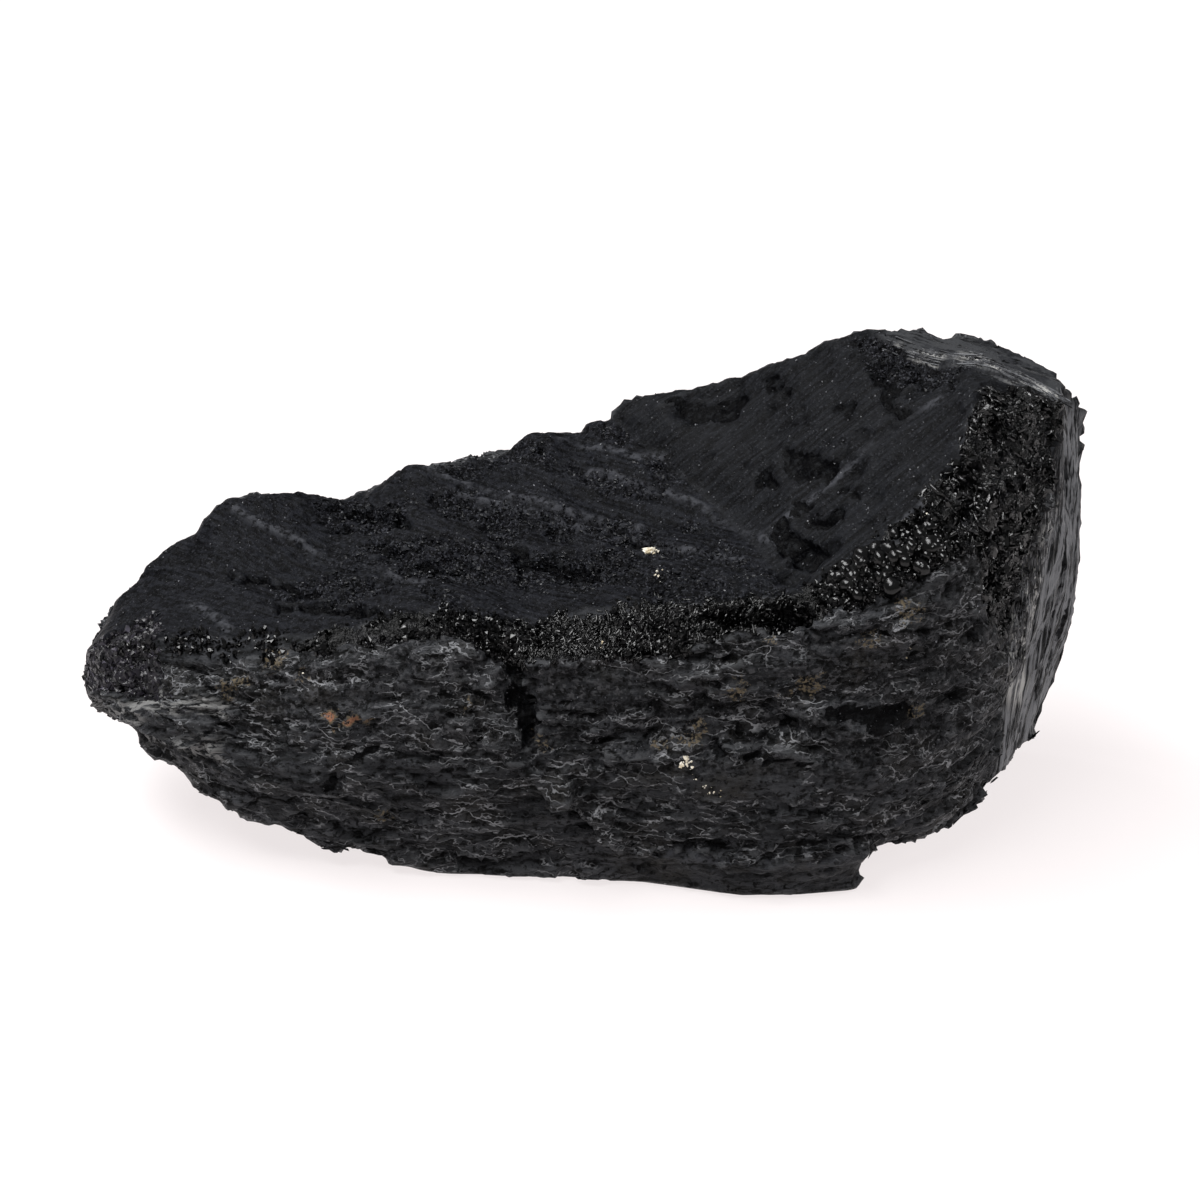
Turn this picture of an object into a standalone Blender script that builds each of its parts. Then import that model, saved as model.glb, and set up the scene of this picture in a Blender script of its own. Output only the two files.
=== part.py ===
"""A rough lump of black tourmaline (schorl), one natural solid that rests on its own broken foot.

The lump is a loft between unlike sections. Feature lines run along it from the left nose to the right
end: the foot, the flaky front, the granular brow, the ridge, the crest and the back. Every line is a
short list of points picked by hand, and a section at any station joins the lines all the way round.
Layered ledges, striations, pits and crumbly grains are then raised on the loft along its normals.
"""

import bpy
import numpy as np

# The driving dimension, in metres.
LENGTH = 0.1225

# The feature lines are in millimetres on a lump of this length.
DRAWN_LENGTH = 122.5
# The middle of the drawn lump's box, seen from above, which becomes the origin.
DRAWN_CENTRE = (0.4, 1.2)

# Each line: name, columns of faces up to the next line, and points (station, x, y, z) in millimetres.
# Stations count the sections from the nose, 0, to the edge of the right end, 13. Station 8 is the valley.
FEATURE_LINES = (
    ("foot_front", 3, (
        (0, -60.0, -1.0, 12.4), (1, -56.7, -5.5, 13.2), (1.3, -54.3, -8.0, 12.1), (1.6, -51.3, -10.5, 10.3),
        (2.05, -47.4, -12.5, 9.5), (2.3, -46.0, -14.0, 7.8), (2.65, -43.3, -15.5, 8.1), (3, -41.3, -16.3, 6.5),
        (3.3, -38.2, -17.2, 6.2), (3.6, -34.9, -18.0, 4.2), (4, -30.3, -19.3, 2.6), (5, -17.5, -20.2, 0.0),
        (6, -5.5, -20.5, 0.0), (7, 6.0, -22.0, 0.0), (8, 17.0, -25.0, 0.0), (9, 24.5, -25.0, 0.0),
        (10, 31.0, -24.0, 0.0), (10.2, 32.0, -23.0, 0.0), (10.5, 32.8, -20.5, 2.0), (11, 34.5, -18.5, 2.2),
        (12, 42.5, -15.5, 2.8), (12.5, 45.5, -12.5, 4.4), (13, 48.8, -9.5, 7.3),
    )),
    ("lip", 5, (
        (0, -60.5, -2.0, 13.5), (1, -56.5, -8.0, 16.0), (2, -48.5, -14.0, 13.6), (3, -40.5, -18.0, 10.2),
        (4, -30.0, -20.5, 8.0), (5, -17.0, -22.0, 5.5), (6, -5.5, -23.0, 5.5), (7, 6.0, -24.0, 6.0),
        (8, 17.5, -26.0, 6.0), (9, 24.5, -26.0, 6.0), (10, 30.5, -25.5, 7.0), (11, 34.5, -23.0, 8.5),
        (12, 42.5, -19.0, 10.5), (13, 49.0, -11.0, 18.0),
    )),
    ("belly", 7, (
        (0, -60.5, -3.0, 15.5), (1, -57.0, -9.0, 18.0), (2, -49.0, -16.0, 19.0), (3, -40.0, -20.0, 17.5),
        (4, -29.0, -23.0, 16.0), (5, -16.5, -25.0, 15.5), (6, -5.5, -26.0, 15.5), (7, 6.0, -27.0, 16.0),
        (8, 17.5, -28.0, 16.5), (9, 24.5, -28.0, 17.0), (10, 30.5, -27.5, 18.0), (11, 35.0, -26.0, 18.5),
        (12, 43.0, -22.0, 20.0), (13, 50.5, -13.5, 26.0),
    )),
    ("brow", 3, (
        (0, -60.5, -3.0, 17.0), (1, -57.5, -9.0, 20.0), (2, -49.0, -15.0, 22.0), (3, -39.5, -18.0, 24.5),
        (4, -30.0, -21.0, 28.5), (5, -17.5, -23.0, 31.0), (6, -6.5, -24.0, 30.5), (7, 6.0, -25.0, 31.5),
        (8, 22.5, -27.0, 35.0), (9, 30.0, -27.0, 37.5), (10, 36.5, -26.0, 39.0), (11, 42.5, -23.5, 42.0),
        (12, 46.5, -20.5, 45.0), (13, 53.0, -12.0, 43.5),
    )),
    ("ridge", 8, (
        (0, -60.5, -2.0, 18.5), (1, -58.0, -7.0, 23.0), (2, -50.0, -11.0, 27.0), (3, -40.5, -13.0, 28.0),
        (4, -31.0, -17.0, 29.5), (5, -17.5, -18.0, 33.5), (6, -6.5, -20.0, 32.0), (7, 4.5, -20.0, 34.5),
        (8, 23.5, -22.0, 37.5), (9, 29.0, -22.0, 39.5), (10, 35.0, -21.0, 44.5), (11, 40.0, -19.0, 50.0),
        (12, 44.0, -15.0, 57.5), (13, 53.6, -9.0, 54.4),
    )),
    ("slope", 8, (
        (0, -60.5, 0.0, 19.5), (1, -57.5, -2.0, 23.5), (2, -51.0, -2.0, 27.5), (3, -42.0, -1.0, 31.0),
        (4, -32.0, -1.0, 31.5), (5, -21.0, -2.0, 35.0), (6, -9.5, -2.0, 36.0), (7, 1.5, -2.0, 37.0),
        (8, 17.0, -6.0, 39.5), (9, 22.0, -6.0, 44.5), (10, 28.5, -6.0, 49.5), (11, 34.0, -5.0, 54.0),
        (12, 44.0, -4.0, 57.5), (13, 54.6, -3.0, 54.6),
    )),
    ("crest", 5, (
        (0, -60.0, 2.0, 19.5), (1, -57.0, 4.0, 24.5), (1.6, -53.5, 6.0, 28.0), (2, -51.0, 7.0, 30.5),
        (2.3, -48.5, 7.5, 31.5), (2.6, -46.0, 8.0, 34.6), (2.8, -44.6, 8.4, 36.3), (3, -43.0, 9.0, 36.3),
        (4, -36.5, 10.5, 36.9), (4.2, -31.5, 11.0, 34.7), (4.4, -28.5, 11.0, 34.6), (4.6, -26.5, 11.5, 35.4),
        (5, -24.0, 12.0, 37.6), (5.15, -22.3, 12.2, 39.4), (5.6, -17.0, 12.5, 39.5), (6, -11.5, 13.0, 39.1),
        (6.25, -8.6, 13.6, 41.2), (6.4, -7.0, 14.0, 42.6), (7, -1.5, 14.0, 42.0), (7.3, 0.2, 14.0, 43.8),
        (8, 2.5, 14.0, 44.0), (8.1, 3.6, 14.0, 45.4), (8.4, 6.5, 14.0, 47.5), (8.8, 12.5, 13.0, 48.5),
        (9.1, 16.0, 12.0, 49.1), (9.4, 18.5, 11.0, 50.6), (10, 23.5, 8.0, 54.4), (10.4, 26.6, 7.2, 55.2),
        (10.6, 28.0, 7.0, 56.8), (10.9, 30.5, 6.0, 58.0), (11, 32.5, 6.0, 59.2), (11.4, 37.5, 7.0, 58.3),
        (12, 44.5, 8.0, 56.5), (12.5, 49.5, 8.0, 55.3), (13, 55.0, 4.5, 53.4),
    )),
    ("back_shoulder", 6, (
        (0, -60.0, 4.0, 18.0), (1, -56.0, 10.0, 22.5), (2, -50.0, 15.0, 26.0), (3, -42.5, 19.0, 29.5),
        (5, -24.0, 23.0, 32.0), (7, -3.0, 25.0, 36.0), (8, 2.0, 25.0, 37.5), (9, 14.0, 24.0, 42.0),
        (10, 25.0, 21.0, 47.0), (11, 34.0, 18.5, 50.5), (12, 49.0, 17.5, 49.0), (13, 60.0, 12.5, 45.5),
    )),
    ("back_mid", 6, (
        (0, -60.0, 4.0, 16.0), (1, -55.5, 12.0, 17.0), (2, -49.0, 18.0, 18.0), (3, -41.0, 23.0, 19.0),
        (5, -23.0, 28.0, 19.0), (7, -3.0, 30.5, 21.0), (8, 3.0, 31.0, 22.0), (9, 14.0, 30.0, 24.0),
        (10, 26.0, 28.0, 26.0), (11, 36.0, 25.5, 28.0), (12, 50.5, 21.5, 30.0), (13, 62.4, 16.0, 28.0),
    )),
    ("back_low", 4, (
        (0, -60.0, 3.0, 14.0), (1, -55.0, 10.0, 13.0), (2, -48.0, 16.0, 11.0), (3, -40.0, 21.0, 9.0),
        (5, -22.0, 26.0, 7.0), (7, -2.0, 29.0, 7.0), (8, 4.0, 29.0, 7.0), (9, 15.0, 28.0, 8.0),
        (10, 27.0, 25.0, 9.0), (11, 37.0, 22.5, 11.0), (12, 49.5, 19.0, 13.0), (13, 61.4, 15.0, 12.0),
    )),
    ("foot_back", 3, (
        (0, -60.0, 2.0, 13.0), (1, -55.0, 6.0, 11.0), (2, -47.0, 10.0, 7.0), (3, -38.0, 14.0, 3.5),
        (4, -28.0, 17.0, 0.8), (5, -19.0, 19.0, 0.0), (6, -6.0, 21.0, 0.0), (7, 5.0, 22.0, 0.0),
        (8, 12.0, 22.0, 0.0), (9, 20.0, 20.0, 0.0), (10, 28.0, 16.0, 0.0), (11, 36.0, 12.0, 2.5),
        (12, 46.5, 12.0, 2.5), (13, 57.5, 12.0, 3.0),
    )),
    ("sole", 3, (
        (0, -60.0, 1.0, 12.5), (1, -55.5, 0.0, 11.5), (2, -47.5, 0.0, 7.5), (3, -39.0, 0.0, 4.0),
        (4, -29.0, 0.0, 0.8), (5, -18.0, 0.0, 0.0), (6, -6.0, 0.0, 0.0), (7, 6.0, 0.0, 0.0),
        (8, 15.0, 0.0, 0.0), (9, 23.0, 0.0, 0.0), (10, 29.0, -3.0, 0.0), (11, 35.5, -3.0, 2.4),
        (12, 44.5, -2.0, 3.0), (13, 53.2, 2.0, 4.8),
    )),
)

# Hollows and welts that show on their own: name, start, end, reach and height, in millimetres.
# A negative height is a hollow.
SCARS = (
    ("slot_under_the_ridge", (13.0, -22.6, 35.0), (23.0, -24.3, 36.4), 2.6, -2.8),
    ("grainy_recess", (8.5, -27.0, 23.5), (20.0, -27.5, 24.0), 5.0, -1.9),
    ("upright_crevice", (-9.7, -22.5, 31.0), (-6.7, -25.0, 22.9), 3.0, -1.8),
    ("valley_pit", (22.6, -18.5, 38.6), (25.4, -17.0, 40.0), 3.4, -1.6),
    ("middle_pit", (23.0, -14.5, 40.0), (26.2, -14.9, 42.0), 2.8, -0.8),
    ("upper_pit", (24.9, -8.7, 44.9), (29.8, -10.5, 47.5), 2.8, -0.9),
    ("far_pit", (12.3, 9.7, 47.0), (16.5, 9.8, 48.9), 3.4, -1.2),
    ("rough_hollow", (-18.2, -7.6, 34.4), (-2.0, -10.0, 35.0), 4.2, -1.3),
    ("left_hollow", (-28.8, 7.5, 34.7), (-24.5, 4.0, 34.7), 3.0, -1.0),
    ("small_hollow", (-23.0, -3.5, 34.0), (-17.1, -6.0, 34.6), 2.8, -0.9),
    ("crumbled_top", (44.6, -13.4, 57.0), (46.8, -15.7, 52.0), 3.4, -1.5),
    ("crumbled_pit", (41.1, -18.4, 50.7), (42.5, -20.5, 47.0), 3.2, -1.7),
    ("crumbled_side", (47.5, -18.9, 43.8), (46.0, -20.5, 38.0), 3.0, -1.4),
    ("grain_heap", (30.0, -23.5, 40.8), (38.0, -24.0, 42.0), 3.4, 1.1),
    ("upper_welt", (-10.3, -24.7, 22.3), (-3.1, -25.9, 14.8), 2.6, 1.2),
    ("lower_welt", (-3.1, -25.9, 14.8), (4.0, -24.6, 7.0), 2.8, 1.1),
    ("foot_ledge", (8.0, -24.8, 5.6), (30.0, -25.6, 5.6), 3.4, 0.9),
    ("left_step", (-46.5, -13.5, 22.0), (-41.0, -18.5, 19.0), 2.4, -0.8),
    ("left_shelf", (-52.0, -12.5, 18.5), (-43.0, -18.0, 17.5), 3.0, 1.0),
    ("first_streak", (-22.9, 11.1, 37.4), (17.4, -14.1, 38.0), 2.2, 0.5),
    ("second_streak", (0.3, 6.9, 40.4), (21.9, -13.8, 39.7), 2.2, 0.5),
    ("bright_line", (23.6, -22.3, 37.4), (40.0, -18.8, 49.7), 2.2, 0.4),
    ("back_hollow", (-9.0, 30.0, 14.0), (1.0, 31.0, 16.0), 8.0, -2.0),
    ("back_scoop", (22.0, 28.0, 34.0), (31.0, 27.0, 36.0), 7.0, -1.8),
    ("back_welt", (-36.0, 23.0, 24.0), (-22.0, 27.5, 25.0), 6.0, 1.4),
)

# The point of the nose and the middle of the right end, in millimetres.
NOSE = (-60.9, 0.5, 16.0)
END_FACE_CENTRE = (57.0, 2.5, 28.0)

# Rows of faces along the lump.
NOSE_ROWS = 3
BODY_ROWS = 66
END_FACE_ROWS = 9
LAST_STATION = 13
VALLEY_STATION = 8

# How far the edges between facets are eased, in stations and in feature lines.
STATION_EASE = 0.16
EDGE_EASE = 0.1

# The relief starts this far above the resting surface and is whole a fade higher, in millimetres.
PLAIN_FOOT = 0.4
FOOT_FADE = 3.0

# Edges that turn by more than this show as sharp, in radians.
SHARP_TURN = 0.5


def lattice_value(ix, iy, iz, seed):
    """A fixed value from -1 to 1 for each corner of a cubic lattice."""
    mixed = (
        ix.astype(np.uint32) * np.uint32(374761393)
        + iy.astype(np.uint32) * np.uint32(668265263)
        + iz.astype(np.uint32) * np.uint32(2246822519)
        + np.uint32(seed * 3266489917 % 2**32)
    )
    mixed = (mixed ^ (mixed >> np.uint32(13))) * np.uint32(1274126177)
    mixed = mixed ^ (mixed >> np.uint32(16))
    return (mixed & np.uint32(0xFFFF)) / 32767.5 - 1.0


def smooth(t):
    """An S-curve from 0 to 1."""
    t = np.clip(t, 0.0, 1.0)
    return t * t * (3.0 - 2.0 * t)


def noise(points, size, seed):
    """Smooth noise from -1 to 1 whose lumps are about size across. Points and size are in millimetres."""
    scaled = points / size
    corner = np.floor(scaled).astype(np.int64)
    weight = smooth(scaled - corner)
    total = np.zeros(len(points))
    for dx in (0, 1):
        for dy in (0, 1):
            for dz in (0, 1):
                share = (
                    (weight[:, 0] if dx else 1 - weight[:, 0])
                    * (weight[:, 1] if dy else 1 - weight[:, 1])
                    * (weight[:, 2] if dz else 1 - weight[:, 2])
                )
                total += share * lattice_value(corner[:, 0] + dx, corner[:, 1] + dy, corner[:, 2] + dz, seed)
    return total


def layered(across, along, thickness, length, seed, sharpness=0.25):
    """Stepped relief from -1 to 1: flat layers of the given thickness, each broken off by its own amount.

    across and along are distances in millimetres, over and along the layers. sharpness is the share of
    a layer that its step takes.
    """
    scaled = across / thickness
    layer = np.floor(scaled)
    step = smooth((scaled - layer - 0.5) / sharpness + 0.5)
    stacked = np.stack([layer + step, along / length, np.zeros_like(along)], axis=1)
    return noise(stacked, 1.0, seed)


def band(value, low, high, edge):
    """1 between low and high, falling to 0 over an edge of the given width on each side."""
    return smooth((value - low) / edge + 0.5) * smooth((high - value) / edge + 0.5)


def nearness(points, start, end, reach):
    """1 on the line from start to end, easing to 0 at the given distance from it, in millimetres."""
    start, run = np.array(start), np.array(end) - np.array(start)
    length = max(run @ run, 1e-9)
    share = np.clip((points - start) @ run / length, 0.0, 1.0)
    away = np.linalg.norm(points - start - share[:, None] * run, axis=1)
    return smooth(1.0 - away / reach)


def columns_around():
    """The place of each column between the feature lines, such as 3.5 half way from line 3 to line 4."""
    return np.concatenate([
        number + np.arange(line[1]) / line[1] for number, line in enumerate(FEATURE_LINES)
    ])


def line_points(stations):
    """The feature lines at the given stations, as an array of line, station and coordinate."""
    lines = []
    for _, _, points in FEATURE_LINES:
        table = np.array(points)
        lines.append(np.stack([np.interp(stations, table[:, 0], table[:, k]) for k in (1, 2, 3)], axis=1))
    return np.array(lines)


def loft(stations, around):
    """The smooth-sided lump: sections at the stations, with straight runs between the feature lines."""
    lines = line_points(stations)
    low = np.floor(around).astype(int)
    share = (around - low)[None, :, None]
    start = lines[low % len(lines)].transpose(1, 0, 2)
    end = lines[(low + 1) % len(lines)].transpose(1, 0, 2)
    return start * (1.0 - share) + end * share


def rounded_loft(stations, around):
    """The loft with its edges eased: the mean of nine nearby places, a middle one that counts most."""
    weights = ((-1, 0.25), (0, 0.5), (1, 0.25))
    total = 0.0
    for along_step, along_weight in weights:
        shifted = np.clip(stations + along_step * STATION_EASE, 0.0, LAST_STATION)
        for round_step, round_weight in weights:
            turned = (around + round_step * EDGE_EASE) % len(FEATURE_LINES)
            total = total + along_weight * round_weight * loft(shifted, turned)
    return total


def closing_rows(section, tip, rows, bulge):
    """Rows that shrink a section to its tip. A bulge of 1 makes a flat end, and 2 a round one."""
    share = np.arange(1, rows) / rows
    shrink = (1.0 - share**bulge) ** (1.0 / bulge)
    forward = share if bulge > 1.0 else 1.0 - shrink
    centre = section.mean(axis=0)
    middle = centre + forward[:, None] * (np.array(tip) - centre)
    return middle[:, None, :] + (section - centre)[None] * shrink[:, None, None]


def lump_grid(nose_rows, body_rows, end_rows, around):
    """All rows from nose to right end, with each row's station. The end face runs from station 13 to 14."""
    stations = np.linspace(0.0, LAST_STATION, body_rows + 1)
    body = rounded_loft(stations, around)
    nose = closing_rows(body[0], NOSE, nose_rows, 2.0)[::-1]
    end = closing_rows(body[-1], END_FACE_CENTRE, end_rows, 1.0)
    row_station = np.concatenate([
        -np.arange(1, nose_rows)[::-1] / nose_rows,
        stations,
        LAST_STATION + np.arange(1, end_rows) / end_rows,
    ])
    return np.concatenate([nose, body, end]), row_station


def grid_normals(grid):
    """Outward unit normals of the grid's points, from the run of its rows and columns."""
    along = np.gradient(grid, axis=0)
    round_the_lump = np.roll(grid, -1, axis=1) - np.roll(grid, 1, axis=1)
    normals = np.cross(along, round_the_lump)
    return normals / np.maximum(np.linalg.norm(normals, axis=2, keepdims=True), 1e-9)


def relief(points, station, place):
    """How far the broken surface stands out from the loft, in millimetres.

    points are millimetres. station and place say where each point is along and around the lump.
    """
    x, y, z = points.T
    on_end = smooth((station - 12.9) / 0.2)
    on_body = 1.0 - on_end
    front = band(place, -0.2, 3.4, 0.5) * on_body
    granular = band(place, 3.0, 4.05, 0.3) * on_body * smooth((station - 2.0) / 1.5)
    crumbly = band(place, 2.6, 5.0, 0.8) * band(station, 10.6, 13.1, 0.7)
    top = band(place, 4.0, 6.1, 0.2) * on_body
    left_slope = top * smooth((VALLEY_STATION - station) / 0.3 + 0.5)
    right_slope = top * smooth((station - VALLEY_STATION) / 0.3 + 0.5) * smooth((11.6 - station) / 0.5)
    behind = band(place, 6.1, 10.0, 0.4) * on_body

    # The layers of the front dip gently, those of the left slope run down to the valley.
    dip = z - 0.05 * x + 0.8 * noise(points, 14.0, 3)
    lean = (y + 0.77 * x) / 1.26
    height = 0.35 * noise(points, 16.0, 1) + 0.3 * noise(points, 7.0, 2)
    height += front * (1.0 * layered(dip, x, 5.5, 14.0, 11) + 0.5 * noise(points, 4.0, 12))
    height += behind * (1.1 * layered(dip, x, 6.0, 16.0, 13) + 0.6 * noise(points, 5.0, 14))
    height += left_slope * (0.5 * layered(lean, x - y, 4.6, 24.0, 15) + 0.2 * noise(points, 3.5, 16))
    height += right_slope * (0.45 * layered(y, x, 4.4, 22.0, 17) + 0.15 * noise(points, 3.5, 18))
    height += on_end * (0.6 * layered(y + 0.1 * z, z, 4.4, 20.0, 19) + 0.2 * noise(points, 4.0, 20))
    height += granular * (0.6 * noise(points, 2.6, 21) - 0.2)
    height += crumbly * 0.9 * noise(points, 3.4, 22)
    for _, start, end, reach, rise in SCARS:
        height += rise * nearness(points, start, end, reach)
    return height


def stone_points():
    """The finished rows of points, in millimetres, standing on z = 0."""
    around = columns_around()
    grid, row_station = lump_grid(NOSE_ROWS, BODY_ROWS, END_FACE_ROWS, around)
    rows, columns, _ = grid.shape
    place = np.tile(around, rows)
    station = np.repeat(row_station, columns)
    points = grid.reshape(-1, 3)
    # The relief dies out at the flat foot and at the narrow nose.
    share = smooth((points[:, 2] - PLAIN_FOOT) / FOOT_FADE) * smooth((station + 0.8) / 1.8)
    moved = points + grid_normals(grid).reshape(-1, 3) * (relief(points, station, place) * share)[:, None]
    moved[:, 2] = np.maximum(moved[:, 2], 0.0)
    return moved.reshape(rows, columns, 3)


def stone_mesh(rows):
    """The closed mesh: a skin of quads between rows of points, with a fan at each end."""
    count, columns, _ = rows.shape
    tips = np.array([rows[0].mean(axis=0), rows[-1].mean(axis=0)])
    points = (np.concatenate([rows.reshape(-1, 3), tips]) - (*DRAWN_CENTRE, 0.0)) * (LENGTH / DRAWN_LENGTH)
    near = np.arange(columns)
    far = (near + 1) % columns
    faces = []
    for row in range(count - 1):
        start, end = row * columns, (row + 1) * columns
        faces += np.stack([start + near, end + near, end + far, start + far], axis=1).tolist()
    nose_tip, end_tip = count * columns, count * columns + 1
    faces += [(nose_tip, a, b) for a, b in zip(near, far)]
    last = (count - 1) * columns
    faces += [(end_tip, last + b, last + a) for a, b in zip(near, far)]
    mesh = bpy.data.meshes.new("tourmaline")
    mesh.from_pydata(points.tolist(), [], [tuple(int(corner) for corner in face) for face in faces])
    mesh.update()
    return mesh


def schorl_material():
    """Black tourmaline: opaque, glassy to satin."""
    material = bpy.data.materials.new("black_tourmaline")
    material.use_nodes = True
    shader = material.node_tree.nodes["Principled BSDF"]
    shader.inputs["Base Color"].default_value = (0.012, 0.012, 0.014, 1.0)
    shader.inputs["Roughness"].default_value = 0.42
    shader.inputs["Metallic"].default_value = 0.0
    return material


def main():
    """Clears the scene and builds the one lump."""
    for old in list(bpy.data.objects):
        bpy.data.objects.remove(old)
    collection = bpy.data.collections.new("tourmaline_crystal")
    bpy.context.scene.collection.children.link(collection)
    stone = bpy.data.objects.new("tourmaline", stone_mesh(stone_points()))
    stone.data.materials.append(schorl_material())
    stone.data.shade_smooth()
    stone.data.set_sharp_from_angle(angle=SHARP_TURN)
    collection.objects.link(stone)


main()
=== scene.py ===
"""A rough lump of black tourmaline (schorl) on a pale studio floor.

The lump is one broken solid: a satin slope on the left, a smooth slope on the right, a grainy ridge of
glassy crystals below them, a flaky front, and a pale fibrous end. Its skin is a grid of rows and columns
lofted through the same feature lines as the solid, then broken up by layered relief, and small crystals,
flakes and specks lie on it as joined meshes.
"""

import logging
from dataclasses import dataclass, field
from enum import Enum

import bpy
import numpy as np
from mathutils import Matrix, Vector


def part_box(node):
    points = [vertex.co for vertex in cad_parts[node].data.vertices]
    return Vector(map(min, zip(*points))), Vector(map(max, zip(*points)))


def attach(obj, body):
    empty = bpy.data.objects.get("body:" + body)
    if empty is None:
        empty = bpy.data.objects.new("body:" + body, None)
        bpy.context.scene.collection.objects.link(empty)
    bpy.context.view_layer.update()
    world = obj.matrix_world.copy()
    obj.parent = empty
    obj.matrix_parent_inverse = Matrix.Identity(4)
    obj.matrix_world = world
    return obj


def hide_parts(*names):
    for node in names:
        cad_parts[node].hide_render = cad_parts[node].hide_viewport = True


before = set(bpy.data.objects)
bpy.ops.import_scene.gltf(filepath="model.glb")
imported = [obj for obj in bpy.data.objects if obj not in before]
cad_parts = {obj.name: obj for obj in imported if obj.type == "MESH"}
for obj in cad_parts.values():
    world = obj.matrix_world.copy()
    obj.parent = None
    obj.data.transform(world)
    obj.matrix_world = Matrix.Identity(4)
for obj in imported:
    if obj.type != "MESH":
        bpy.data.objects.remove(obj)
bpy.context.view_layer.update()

LOG = logging.getLogger("tourmaline")
Array = np.ndarray

# The feature lines are in millimetres on a lump of this length, measured from this middle of its box.
DRAWN_LENGTH = 122.5
DRAWN_CENTRE = (0.4, 1.2)

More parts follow.
